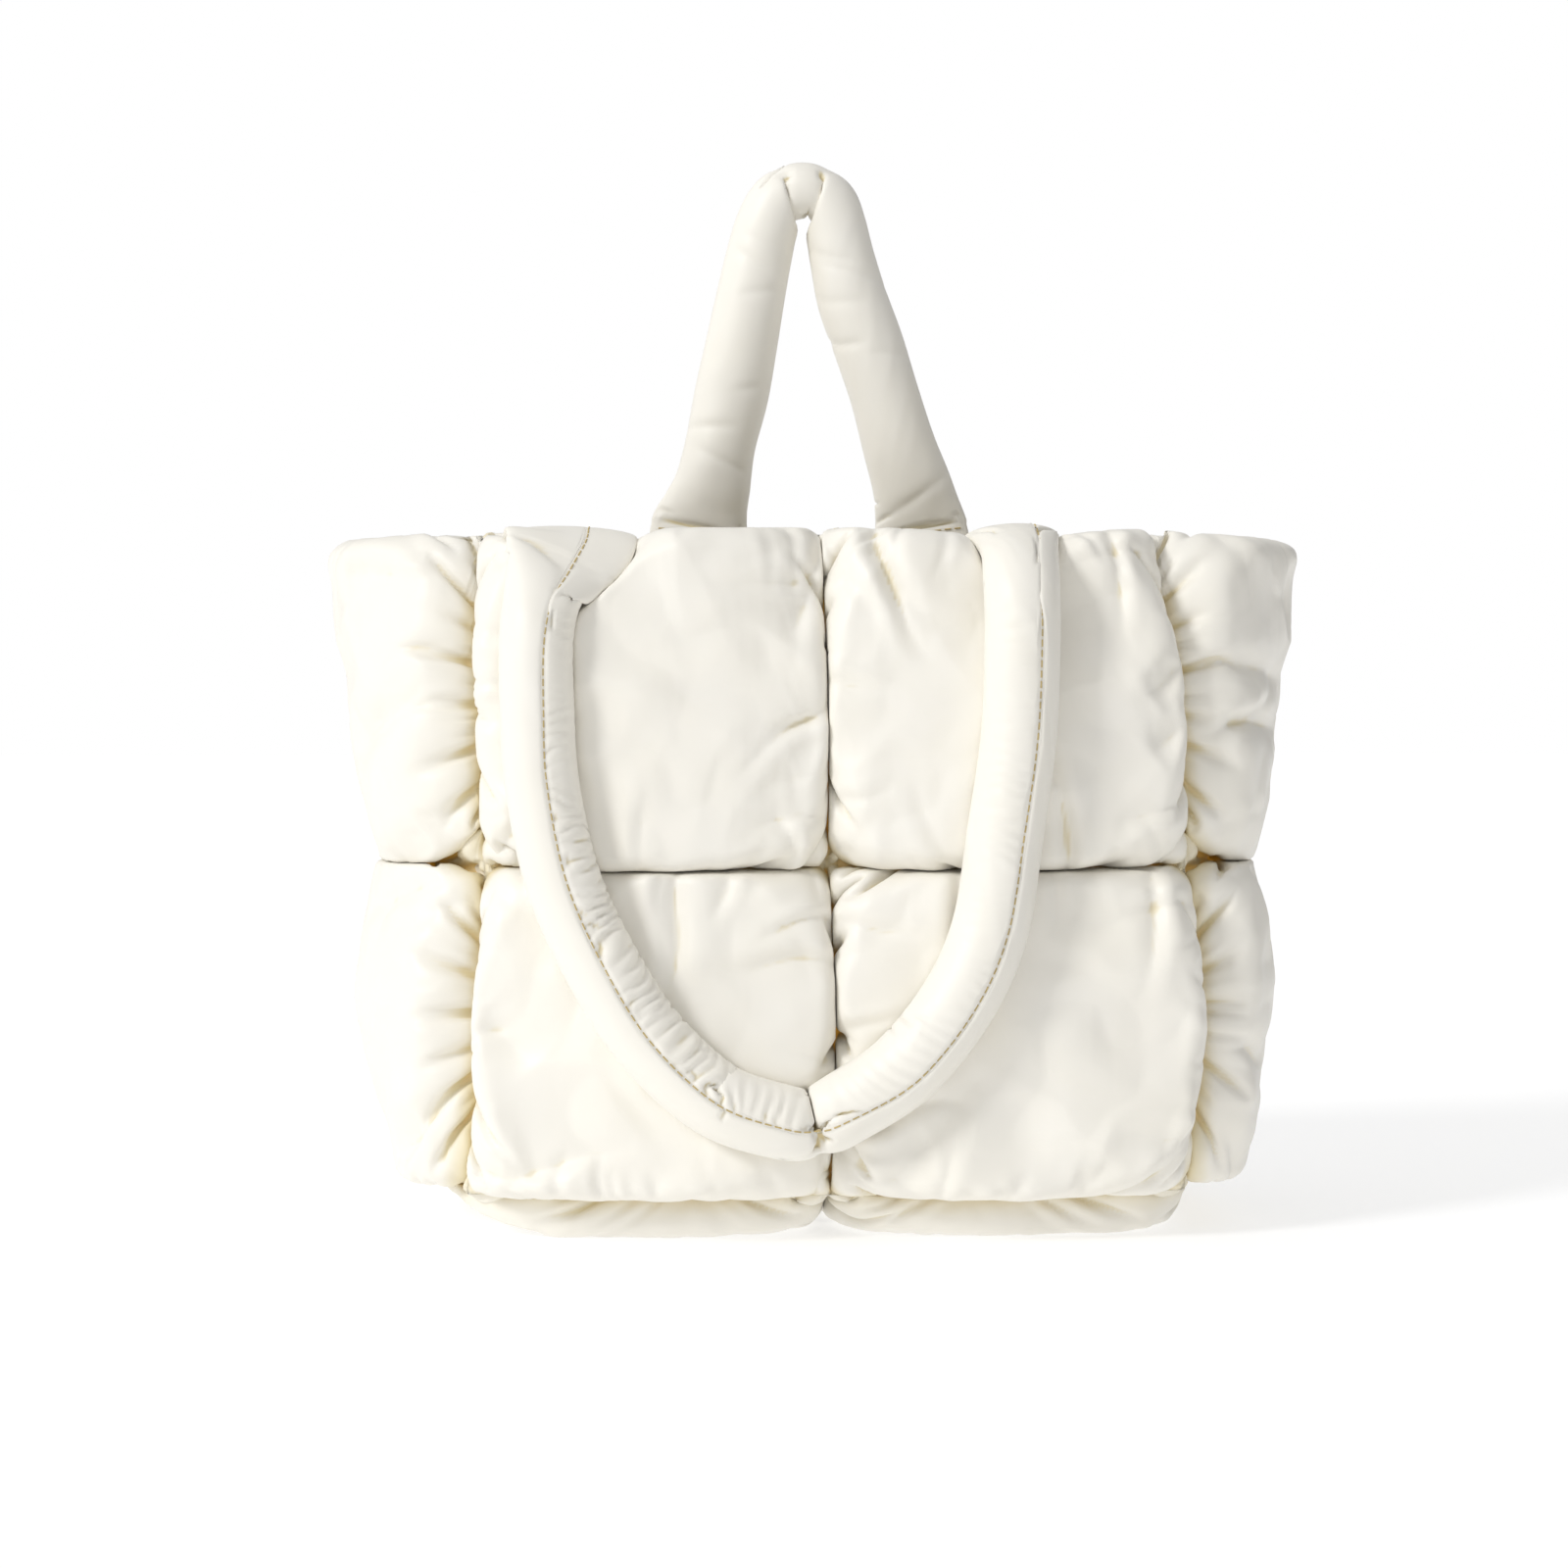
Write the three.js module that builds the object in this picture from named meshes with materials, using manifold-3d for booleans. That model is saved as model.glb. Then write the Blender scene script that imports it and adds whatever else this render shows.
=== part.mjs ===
// A large open-top tote bag sewn from down-filled nylon pads, with two stuffed tube handles.
// Millimetres. +X is to the right of the front wall, -Y is to the front, +Z is up.
import * as THREE from 'three';
import Module from 'manifold-3d';
import { mergeVertices } from 'three/addons/utils/BufferGeometryUtils.js';

const wasm = await Module();
wasm.setup();

// Body
const panelWidth = 325; // front wall between its side seams, at the waist seam
const wallHeight = 305; // front wall from the bottom seam to the rim
const baseHeight = 22; // bottom seams above the floor
const gussetWidth = 158; // cloth of a side wall from its front seam to its back seam
const wallBow = 10; // how far the front and back walls bow out between the side seams
const padBulge = 32; // how far a pad stands out from its seams
const liningBulge = 9; // how far it swells into the bag
const bottomBulge = 30; // the bottom pads, before the floor presses them flat
const seamThickness = 4; // padding squeezed in a seam
const droop = 0.12; // how far a pad hangs down for each millimetre that it stands out
const backRimSag = 7; // the back rim hangs lower than the front one
const gussetRimSag = 5; // and so do the side rims
const footPress = 5; // a handle's foot presses the rim down
const footReach = 34; // half width of that dip
const clearance = 0.3; // air between neighbouring pieces
const gatherRibs = 14; // ribs of gathered cloth along a side seam, seven to a pad
const gatherWander = 1.5; // how unevenly they follow each other
const gatherDepth = 0.3; // a share of the pad bulge
const gatherReach = 0.22; // how far they run in from the seam, a share of half the gusset
const padFullness = 2.6; // a pad's crown: higher is flatter on top and steeper at the seams
const rimFullness = 6; // the same towards the rim, where the pad is fullest
const crownRoundness = 2.2; // 2 is a round edge

// Handles
const tubeDiameter = 34;
const footWidth = 46; // the flattened end of a tube, sewn inside the rim
const footThickness = 8;
const footLength = 38; // how far it runs down inside the rim
const footSplay = 2; // the sewn end lies this much further from the wall than the foot at the rim
const footTurn = 3; // from the middle of the rim to the middle of the foot that folds over it
const foldReach = 29; // from the rim forward to where the tube is round again
const foldDrop = 4; // and down
const rimCurve = 12; // height over which the hanging tube turns its face at the rim
const padPress = 6; // how far the hanging handle sinks into the pads
const crownHeight = 179; // the standing handle above the rim, to the middle of its tube
const shortFootSpacing = 112; // between the middles of its feet

// Mesh
const wallCells = 12; // across a wall pad, and up it
const gussetCells = 8; // across a gusset pad
const gussetRows = 20; // up it
const tubeSides = 12;
const tubeRings = 44;
const bottomCells = 8; // across a bottom pad, and along it

// Side and centre seams of the front and back walls: shares of the panel width, at shares of the wall
// height. The gussets bow out between their seams by shares of the gusset width.
const seams = [
  { up: 0.0, left: -0.51, centre: 0.003, right: 0.514, leftBow: 0.03, rightBow: 0.03 },
  { up: 0.25, left: -0.484, centre: 0.011, right: 0.522, leftBow: 0.175, rightBow: 0.085 },
  { up: 0.5, left: -0.485, centre: 0.002, right: 0.514, leftBow: 0.186, rightBow: 0.127 },
  { up: 0.75, left: -0.484, centre: 0.0, right: 0.49, leftBow: 0.225, rightBow: 0.19 },
  { up: 1.0, left: -0.493, centre: -0.007, right: 0.469, leftBow: 0.275, rightBow: 0.3 },
];

// Folds and dents. Ends are places on the wall: across from -1 to 1, up from 0 to 1. The depth is a
// share of the pad bulge, negative for a ridge. The width is a share of the wall height.
const frontFolds = [
  { from: [-0.02, 0.94], to: [-0.19, 0.81], depth: 0.3, width: 0.035 },
  { from: [-0.01, 0.51], to: [-0.12, 0.57], depth: 0.28, width: 0.03 },
  { from: [-0.15, 0.73], to: [-0.13, 0.6], depth: 0.14, width: 0.045 },
  { from: [-0.69, 0.79], to: [-0.41, 0.75], depth: -0.07, width: 0.03 },
  { from: [0.03, 1.0], to: [0.21, 0.9], depth: 0.18, width: 0.028 },
  { from: [0.02, 0.75], to: [0.16, 0.67], depth: 0.16, width: 0.03 },
  { from: [0.98, 0.88], to: [0.76, 0.76], depth: -0.14, width: 0.03 },
  { from: [0.97, 0.81], to: [0.81, 0.75], depth: 0.26, width: 0.028 },
  { from: [0.91, 0.72], to: [0.81, 0.68], depth: 0.16, width: 0.028 },
  { from: [-0.87, 0.27], to: [-0.75, 0.21], depth: 0.12, width: 0.03 },
  { from: [-0.03, 0.49], to: [-0.09, 0.44], depth: 0.26, width: 0.03 },
  { from: [-0.02, 0.42], to: [-0.14, 0.33], depth: 0.14, width: 0.035 },
  { from: [-0.5, 0.0], to: [-0.5, 0.06], depth: 0.4, width: 0.03 },
  { from: [0.03, 0.0], to: [0.17, 0.05], depth: 0.3, width: 0.03 },
  { from: [0.18, 0.05], to: [0.42, 0.21], depth: 0.14, width: 0.03 },
  { from: [0.57, 0.02], to: [0.7, 0.11], depth: 0.16, width: 0.028 },
  { from: [0.99, 0.51], to: [0.9, 0.46], depth: 0.3, width: 0.03 },
];
const backFolds = [
  { from: [-0.98, 0.62], to: [-0.8, 0.7], depth: 0.26, width: 0.03 },
  { from: [0.02, 0.9], to: [0.2, 0.8], depth: 0.24, width: 0.035 },
  { from: [0.03, 0.53], to: [0.14, 0.6], depth: 0.24, width: 0.03 },
  { from: [-0.1, 0.98], to: [-0.24, 0.84], depth: 0.18, width: 0.03 },
  { from: [0.98, 0.4], to: [0.8, 0.3], depth: 0.24, width: 0.03 },
  { from: [-0.04, 0.4], to: [-0.2, 0.28], depth: 0.18, width: 0.035 },
  { from: [-0.7, 0.02], to: [-0.55, 0.12], depth: 0.2, width: 0.03 },
  { from: [0.4, 0.02], to: [0.5, 0.1], depth: 0.22, width: 0.03 },
];
const leftFolds = [
  { from: [-0.98, 0.78], to: [-0.2, 0.69], depth: 0.2, width: 0.028 },
  { from: [-0.9, 0.91], to: [-0.3, 0.9], depth: 0.16, width: 0.028 },
  { from: [-0.9, 0.58], to: [-0.1, 0.53], depth: 0.28, width: 0.028 },
  { from: [-0.9, 0.45], to: [-0.2, 0.38], depth: 0.28, width: 0.03 },
  { from: [-0.95, 0.14], to: [-0.35, 0.1], depth: 0.3, width: 0.03 },
  { from: [0.95, 0.85], to: [0.3, 0.75], depth: 0.2, width: 0.028 },
  { from: [0.9, 0.3], to: [0.3, 0.2], depth: 0.22, width: 0.03 },
];
const rightFolds = [
  { from: [-0.98, 0.8], to: [-0.1, 0.77], depth: 0.2, width: 0.024 },
  { from: [-0.98, 0.72], to: [0.0, 0.71], depth: 0.24, width: 0.024 },
  { from: [-0.9, 0.55], to: [-0.2, 0.53], depth: 0.24, width: 0.028 },
  { from: [-0.95, 0.24], to: [-0.3, 0.2], depth: 0.2, width: 0.028 },
  { from: [-0.95, 0.12], to: [-0.4, 0.06], depth: 0.28, width: 0.03 },
  { from: [0.95, 0.62], to: [0.2, 0.7], depth: 0.22, width: 0.028 },
  { from: [0.9, 0.4], to: [0.3, 0.32], depth: 0.22, width: 0.03 },
];

// The hanging handle's middle line in front of the bag. Across is a share of the panel width, up a share
// of the rim height, and wide and deep are shares of the tube's diameter.
const hanging = [
  { across: -0.409, up: 0.93, wide: 1.0, deep: 0.8 },
  { across: -0.412, up: 0.86, wide: 0.97, deep: 0.95 },
  { across: -0.411, up: 0.76, wide: 0.96, deep: 0.97 },
  { across: -0.404, up: 0.65, wide: 0.96, deep: 0.97 },
  { across: -0.374, up: 0.515, wide: 0.98, deep: 0.97 },
  { across: -0.316, up: 0.392, wide: 1.0, deep: 0.97 },
  { across: -0.251, up: 0.295, wide: 1.0, deep: 0.95 },
  { across: -0.162, up: 0.215, wide: 1.0, deep: 0.95 },
  { across: -0.075, up: 0.183, wide: 0.98, deep: 0.9 },
  { across: -0.025, up: 0.178, wide: 0.96, deep: 0.82 },
  { across: 0.02, up: 0.2, wide: 0.97, deep: 0.9 },
  { across: 0.105, up: 0.258, wide: 1.0, deep: 0.95 },
  { across: 0.179, up: 0.351, wide: 1.0, deep: 0.97 },
  { across: 0.223, up: 0.451, wide: 1.0, deep: 0.97 },
  { across: 0.245, up: 0.582, wide: 1.0, deep: 0.97 },
  { across: 0.264, up: 0.72, wide: 0.98, deep: 0.97 },
  { across: 0.2695, up: 0.85, wide: 0.98, deep: 0.95 },
  { across: 0.2695, up: 0.93, wide: 1.0, deep: 0.8 },
];
const hangingFeet = { left: { inside: -0.35, rim: -0.375 }, right: { inside: 0.265, rim: 0.269 } };

// The standing handle's middle line. Across is a share of its foot spacing, up a share of its height
// above the rim, and wide and deep are shares of the tube's diameter.
const standing = [
  { across: -0.494, up: 0.02, wide: 1.42, deep: 0.4 },
  { across: -0.44, up: 0.135, wide: 1.12, deep: 0.86 },
  { across: -0.398, up: 0.265, wide: 1.0, deep: 0.97 },
  { across: -0.351, up: 0.395, wide: 1.03, deep: 0.98 },
  { across: -0.307, up: 0.53, wide: 0.98, deep: 0.98 },
  { across: -0.264, up: 0.66, wide: 0.92, deep: 0.98 },
  { across: -0.225, up: 0.79, wide: 0.9, deep: 0.96 },
  { across: -0.196, up: 0.895, wide: 0.8, deep: 0.95 },
  { across: -0.148, up: 0.972, wide: 0.72, deep: 0.92 },
  { across: -0.045, up: 1.0, wide: 0.78, deep: 0.92 },
  { across: 0.052, up: 0.972, wide: 0.68, deep: 0.92 },
  { across: 0.096, up: 0.895, wide: 0.68, deep: 0.95 },
  { across: 0.128, up: 0.79, wide: 0.93, deep: 0.97 },
  { across: 0.184, up: 0.66, wide: 1.03, deep: 0.98 },
  { across: 0.256, up: 0.53, wide: 1.03, deep: 0.98 },
  { across: 0.33, up: 0.395, wide: 1.0, deep: 0.98 },
  { across: 0.392, up: 0.265, wide: 1.03, deep: 0.97 },
  { across: 0.458, up: 0.135, wide: 1.14, deep: 0.86 },
  { across: 0.501, up: 0.02, wide: 1.38, deep: 0.4 },
];

// A smooth curve through values that are one step apart.
function smooth(values, place) {
  const last = values.length - 1;
  const i = Math.min(Math.max(Math.floor(place), 0), last - 1);
  const f = place - i;
  const [a, b] = [values[i], values[i + 1]];
  const before = i > 0 ? values[i - 1] : 2 * a - b;
  const after = i + 2 <= last ? values[i + 2] : 2 * b - a;
  const bend = (2 * before - 5 * a + 4 * b - after) * f * f + (3 * a - before - 3 * b + after) * f ** 3;
  return a + 0.5 * ((b - before) * f + bend);
}

function seamAt(column, up) {
  return smooth(seams.map((row) => row[column]), up * (seams.length - 1));
}

// Half the distance between the front and back seams: the gusset's cloth keeps its width as it bows.
function halfDepth(side, up) {
  const bow = gussetWidth * seamAt(side < 0 ? 'leftBow' : 'rightBow', up);
  return 0.5 * Math.sqrt(gussetWidth ** 2 - (16 / 3) * bow ** 2);
}

function bowAt(side, along, up) {
  return side * gussetWidth * seamAt(side < 0 ? 'leftBow' : 'rightBow', up) * (1 - along ** 2);
}

function seamX(across, up) {
  const edge = seamAt(across < 0 ? 'left' : 'right', up);
  const centre = seamAt('centre', up);
  return panelWidth * (centre + (edge - centre) * Math.abs(across));
}

function wallDepth(across, up) {
  const share = (across + 1) / 2;
  return halfDepth(-1, up) * (1 - share) + halfDepth(1, up) * share + wallBow * (1 - across ** 2);
}

// The rim is lower under the feet of the hanging handle, and along the back.
function rimDrop(x, across, side) {
  if (side > 0) return backRimSag * (1 - across ** 4);
  const feet = Object.values(hangingFeet).map((foot) => x - panelWidth * foot.rim);
  return footPress * feet.reduce((sum, gap) => sum + Math.exp(-((gap / footReach) ** 2)), 0);
}

// Middle surfaces of the walls. Side is -1 for the front or left wall, 1 for the back or right one.
function wallPoint(across, up, side) {
  const x = seamX(across, up);
  const z = baseHeight + wallHeight * up - rimDrop(x, across, side) * Math.max(up, 0) ** 4;
  return new THREE.Vector3(x, side * wallDepth(across, up), z);
}

function gussetPoint(along, up, side) {
  const x = seamX(side, up) + bowAt(side, along, up);
  const z = baseHeight + wallHeight * up - gussetRimSag * (1 - along ** 2) * Math.max(up, 0) ** 4;
  return new THREE.Vector3(x, along * halfDepth(side, up), z);
}

function bottomPoint(across, along) {
  const edge = Math.sign(across) || 1;
  const x = seamX(across, 0) + Math.abs(across) * bowAt(edge, along, 0);
  return new THREE.Vector3(x, along * wallDepth(across, 0), baseHeight);
}

// A pad's crown from seam to seam: place runs from -1 to 1. It is fuller towards an edge that is a rim.
function crown(place, rim = false) {
  const power = rim && place > 0 ? rimFullness : padFullness;
  return Math.max(1 - Math.abs(place) ** power, 0) ** (1 / crownRoundness);
}

// Two pads between -1 and 1, or between 0 and 1, meet at a seam in the middle.
const padAcross = (across) => 2 * Math.abs(across) - 1;
const padUp = (up) => 4 * (up < 0.5 ? up : up - 0.5) - 1;

function foldDepth(folds, across, up, width) {
  const half = width / 2;
  let depth = 0;
  for (const fold of folds) {
    const [ax, ay] = [fold.from[0] * half, fold.from[1] * wallHeight];
    const [bx, by] = [fold.to[0] * half - ax, fold.to[1] * wallHeight - ay];
    const [px, py] = [across * half - ax, up * wallHeight - ay];
    const t = Math.min(Math.max((px * bx + py * by) / (bx * bx + by * by), 0), 1);
    const away = Math.hypot(px - t * bx, py - t * by) / (fold.width * wallHeight);
    depth += fold.depth * Math.exp(-(away ** 2)) * (1 - 0.35 * t);
  }
  return depth;
}

// Cloth gathered into the side seams stands in short ribs.
function gathers(along, up) {
  const wander = gatherWander * Math.sin(9 * up);
  const ribs = 0.5 + 0.5 * Math.cos(2 * Math.PI * gatherRibs * up + wander);
  return gatherDepth * ribs * Math.exp(-(1 - Math.abs(along)) / gatherReach);
}

function wallSwell(across, up, folds) {
  const full = crown(padAcross(across)) * crown(padUp(up), up > 0.5);
  return padBulge * Math.max(full - foldDepth(folds, across, up, panelWidth) * Math.sqrt(full), 0);
}

function gussetSwell(along, up, folds) {
  const full = crown(along) * crown(padUp(up), up > 0.5);
  const lost = (foldDepth(folds, along, up, gussetWidth) + gathers(along, up)) * Math.sqrt(full);
  return padBulge * Math.max(full - lost, 0);
}

const softBulge = (a, b) => Math.cos((Math.PI / 2) * a) * Math.cos((Math.PI / 2) * b);

// Seam rows are closer together near the seams, where the pads are steep.
function padNodes(start, end, count) {
  const nodes = [];
  for (let k = 0; k <= count; k++) {
    const share = 0.5 - 0.5 * Math.sin((Math.PI / 2) * (1 - (2 * k) / count));
    nodes.push(start + (end - start) * (0.75 * share + (0.25 * k) / count));
  }
  return nodes;
}

// How far a wall stops short of the seam line where it meets its neighbour.
function seamInset(corner, one, other) {
  const angle = one.clone().sub(corner).angleTo(other.clone().sub(corner)) / 2;
  return seamThickness / 2 / Math.tan(angle) + clearance / 2 / Math.sin(angle);
}

// A closed padded wall: an outer and an inner sheet over a middle surface, joined round the edge.
function paddedPanel(panel, extra = 0) {
  const { columns, rows, point, faces } = panel;
  const step = 1e-3;
  const sheets = [[], []];
  for (const row of rows) {
    for (const column of columns) {
      const [s, t] = panel.trim(column, row, extra);
      const place = point(s, t);
      const ds = point(s + step, t).sub(point(s - step, t));
      const dt = point(s, t + step).sub(point(s, t - step));
      const normal = ds.cross(dt).normalize().multiplyScalar(faces);
      const lean = panel.lean ? panel.lean(column, row) : new THREE.Vector3();
      const out = seamThickness / 2 + extra + panel.swell(column, row);
      const inn = seamThickness / 2 + extra + liningBulge * panel.lining(column, row);
      const outer = place.clone().addScaledVector(normal.clone().add(lean).normalize(), out);
      outer.z -= droop * (out - extra - seamThickness / 2) * (panel.hangs ?? 1);
      outer.z = Math.max(outer.z, 0);
      sheets[0].push(outer);
      sheets[1].push(place.clone().addScaledVector(normal, -inn));
    }
  }
  const [wide, high] = [columns.length, rows.length];
  const points = [...sheets[0], ...sheets[1]];
  const below = sheets[0].length;
  const faceList = [];
  const quad = (a, b, c, d) => faceList.push(...(faces > 0 ? [a, b, c, a, c, d] : [a, c, b, a, d, c]));
  for (let j = 0; j < high - 1; j++) {
    for (let i = 0; i < wide - 1; i++) {
      const a = j * wide + i;
      quad(a, a + 1, a + 1 + wide, a + wide);
      quad(below + a, below + a + wide, below + a + 1 + wide, below + a + 1);
    }
  }
  const rim = [];
  for (let i = 0; i < wide - 1; i++) rim.push(i);
  for (let j = 0; j < high - 1; j++) rim.push(j * wide + wide - 1);
  for (let i = wide - 1; i > 0; i--) rim.push((high - 1) * wide + i);
  for (let j = high - 1; j > 0; j--) rim.push(j * wide);
  rim.forEach((a, k) => {
    const b = rim[(k + 1) % rim.length];
    quad(a, below + a, below + b, b);
  });
  return solidGeometry(points, faceList);
}

function solidGeometry(points, faceList) {
  const geometry = new THREE.BufferGeometry();
  geometry.setAttribute('position', new THREE.Float32BufferAttribute(points.flatMap((p) => p.toArray()), 3));
  geometry.setIndex(faceList);
  return geometry;
}

// Side and bottom seams: the shares of a wall's own coordinates that its edges stop short.
function sideInset(side, up, back) {
  const corner = wallPoint(side, up, back);
  return seamInset(corner, wallPoint(side * 0.98, up, back), gussetPoint(back * 0.98, up, side));
}

const bottomInset = seamThickness / 2 + clearance;

function trimUp(up, extra) {
  const start = (bottomInset - extra) / wallHeight;
  return start + (1 + extra / wallHeight - start) * up;
}

function wall(side, folds) {
  return {
    columns: [...padNodes(-1, 0, wallCells), ...padNodes(0, 1, wallCells).slice(1)],
    rows: [...padNodes(0, 0.5, wallCells), ...padNodes(0.5, 1, wallCells).slice(1)],
    faces: -side,
    point: (across, up) => wallPoint(across, up, side),
    trim: (across, up, extra) => {
      const inset = sideInset(Math.sign(across) || 1, up, side) - extra;
      return [across * (1 - inset / (panelWidth / 2)), trimUp(up, extra)];
    },
    swell: (across, up) => wallSwell(across, up, folds),
    lining: (across, up) => softBulge(padAcross(across), padUp(up)),
  };
}

function gusset(side, folds) {
  return {
    columns: padNodes(-1, 1, gussetCells),
    rows: [...padNodes(0, 0.5, gussetRows), ...padNodes(0.5, 1, gussetRows).slice(1)],
    faces: side,
    point: (along, up) => gussetPoint(along, up, side),
    trim: (along, up, extra) => {
      const inset = sideInset(side, up, Math.sign(along) || 1) - extra;
      return [along * (1 - inset / (gussetWidth / 2)), trimUp(up, extra)];
    },
    swell: (along, up) => gussetSwell(along, up, folds),
    lining: (along, up) => softBulge(along, padUp(up)),
  };
}

const bottom = {
  columns: [...padNodes(-1, 0, bottomCells), ...padNodes(0, 1, bottomCells).slice(1)],
  rows: padNodes(-1, 1, bottomCells),
  faces: -1,
  hangs: 0,
  point: bottomPoint,
  trim: (across, along, extra) => {
    const sideways = (bottomInset - extra) / (panelWidth / 2);
    return [across * (1 - sideways), along * (1 - (bottomInset - extra) / (gussetWidth / 2))];
  },
  swell: (across, along) => bottomBulge * crown(padAcross(across)) * crown(along),
  lining: (across, along) => softBulge(padAcross(across), along),
  lean: (across, along) => new THREE.Vector3(0.5 * across ** 9, 0.6 * along ** 5, 0),
};

// A stuffed tube through stations that each have a place, a width, a depth and a facing direction.
function stuffedTube(stations, facing) {
  const column = (key) => stations.map((station) => station[key]);
  const columns = ['x', 'y', 'z', 'wide', 'deep'].map(column);
  const at = (share) => columns.map((values) => smooth(values, share * (stations.length - 1)));
  const points = [];
  const faceList = [];
  for (let k = 0; k <= tubeRings; k++) {
    const share = k / tubeRings;
    const [x, y, z, wide, deep] = at(share);
    const middle = new THREE.Vector3(x, y, z);
    const ahead = new THREE.Vector3(...at(share + 1e-3)).sub(new THREE.Vector3(...at(share - 1e-3)));
    ahead.normalize();
    const sideways = ahead.clone().cross(facing(middle)).normalize();
    const out = sideways.clone().cross(ahead);
    for (let j = 0; j < tubeSides; j++) {
      const turn = (2 * Math.PI * (j + 0.5)) / tubeSides;
      const corner = middle.clone().addScaledVector(sideways, (wide / 2) * Math.cos(turn));
      points.push(corner.addScaledVector(out, (deep / 2) * Math.sin(turn)));
    }
    if (k === 0 || k === tubeRings) points.push(middle);
  }
  // The first ring is followed by the middle of its end.
  const ringStart = (k) => (k === 0 ? 0 : k * tubeSides + 1);
  for (let k = 0; k < tubeRings; k++) {
    for (let j = 0; j < tubeSides; j++) {
      const next = (j + 1) % tubeSides;
      const [a, b] = [ringStart(k) + j, ringStart(k) + next];
      const [c, d] = [ringStart(k + 1) + next, ringStart(k + 1) + j];
      faceList.push(a, c, b, a, d, c);
      if (k === 0) faceList.push(tubeSides, a, b);
      if (k === tubeRings - 1) faceList.push(ringStart(tubeRings) + tubeSides, c, d);
    }
  }
  return solidGeometry(points, faceList);
}

function asSolid(geometry) {
  const merged = mergeVertices(geometry, 1e-4);
  const mesh = new wasm.Mesh({
    numProp: 3,
    vertProperties: new Float32Array(merged.attributes.position.array),
    triVerts: new Uint32Array(merged.index.array),
  });
  return new wasm.Manifold(mesh);
}

// The tube without what the padded wall presses away, with a little air between them.
function pressedOn(tube, panel) {
  const { vertProperties, triVerts } = asSolid(tube)
    .subtract(asSolid(paddedPanel(panel, 2 * clearance)))
    .getMesh();
  const geometry = new THREE.BufferGeometry();
  geometry.setAttribute('position', new THREE.Float32BufferAttribute(vertProperties, 3));
  geometry.setIndex(Array.from(triVerts));
  return geometry;
}

const frontWall = wall(-1, frontFolds);
const backWall = wall(1, backFolds);

// Places on the outside of the front wall, for laying a tube on it.
const frontPlaces = [];
for (let i = 0; i <= 60; i++) {
  for (let j = 0; j <= 60; j++) {
    const [across, up] = [i / 30 - 1, j / 60];
    const place = wallPoint(across, up, -1);
    const out = seamThickness / 2 + wallSwell(across, up, frontFolds);
    frontPlaces.push(new THREE.Vector3(place.x, place.y - out, place.z - droop * out));
  }
}

// How far forward a ball of the tube's radius lies when it touches the wall at x, z.
function restingY(x, z) {
  const radius = tubeDiameter / 2 + clearance;
  let nearest = Infinity;
  for (const place of frontPlaces) {
    const room = radius ** 2 - (place.x - x) ** 2 - (place.z - z) ** 2;
    if (room > 0) nearest = Math.min(nearest, place.y - Math.sqrt(room));
  }
  return nearest;
}

function rimPoint(x, side) {
  const edge = seamAt(x < 0 ? 'left' : 'right', 1) * panelWidth;
  return wallPoint(Math.abs(x / edge) * Math.sign(x), 1, side);
}

// A hanging handle's foot comes up inside the rim, flattened, and folds forward over it.
function foldedFoot({ inside, rim }) {
  const [innerX, rimX] = [inside * panelWidth, rim * panelWidth];
  const { y, z } = rimPoint(rimX, -1);
  const seat = seamThickness / 2 + clearance + footThickness / 2;
  return [
    { x: innerX, y: y + seat + footSplay, z: z - footLength, wide: footWidth, deep: footThickness },
    { x: innerX, y: y + seat, z: z - footLength * 0.3, wide: footWidth, deep: footThickness },
    { x: rimX, y: y - footTurn, z: z + footThickness / 2, wide: footWidth * 1.08, deep: footThickness * 1.1 },
    {
      x: rimX * 1.03,
      y: y - foldReach,
      z: z - foldDrop,
      wide: footWidth * 0.84,
      deep: tubeDiameter * 0.6,
    },
  ];
}

function hangingStations() {
  const rimHeight = baseHeight + wallHeight;
  const rows = hanging.map((row) => ({ ...row, x: row.across * panelWidth, z: row.up * rimHeight }));
  // The tube is stiff: it bridges the seam grooves from pad to pad.
  const resting = rows.map((row) => restingY(row.x, row.z));
  const bridged = resting.map((y, k) => Math.min(y, ...resting.slice(Math.max(k - 1, 0), k + 2)));
  const line = rows.map((row, k) => {
    const y = (2 * bridged[k] + bridged[Math.max(k - 1, 0)] + bridged[Math.min(k + 1, rows.length - 1)]) / 4;
    const [wide, deep] = [row.wide * tubeDiameter, row.deep * tubeDiameter];
    return { x: row.x, y: y + padPress + (tubeDiameter - deep) / 2, z: row.z, wide, deep };
  });
  return [...foldedFoot(hangingFeet.left), ...line, ...foldedFoot(hangingFeet.right).reverse()];
}

// A standing handle's foot is sewn flat inside the back rim.
function standingStations() {
  const footX = (sign) => (sign * shortFootSpacing) / 2;
  const { y, z } = rimPoint(footX(1), 1);
  const seat = seamThickness / 2 + clearance + footThickness / 2;
  const foot = (sign) => [
    { x: footX(sign) * 1.05, y: y - seat - footSplay, z: z - footLength, wide: footWidth, deep: footThickness },
    { x: footX(sign) * 1.03, y: y - seat, z: z - footLength * 0.3, wide: footWidth, deep: footThickness },
  ];
  const line = standing.map((row) => ({
    x: row.across * shortFootSpacing,
    y: y - footTurn,
    z: z + row.up * crownHeight,
    wide: row.wide * tubeDiameter,
    deep: row.deep * tubeDiameter,
  }));
  return [...foot(-1), ...line, ...foot(1).reverse()];
}

// The hanging tube faces away from the front rim, which it folds over.
function awayFromRim(place) {
  const rim = rimPoint(place.x, -1);
  return new THREE.Vector3(0, place.y - rim.y, Math.max(place.z - rim.z + rimCurve, 0)).normalize();
}

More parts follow.
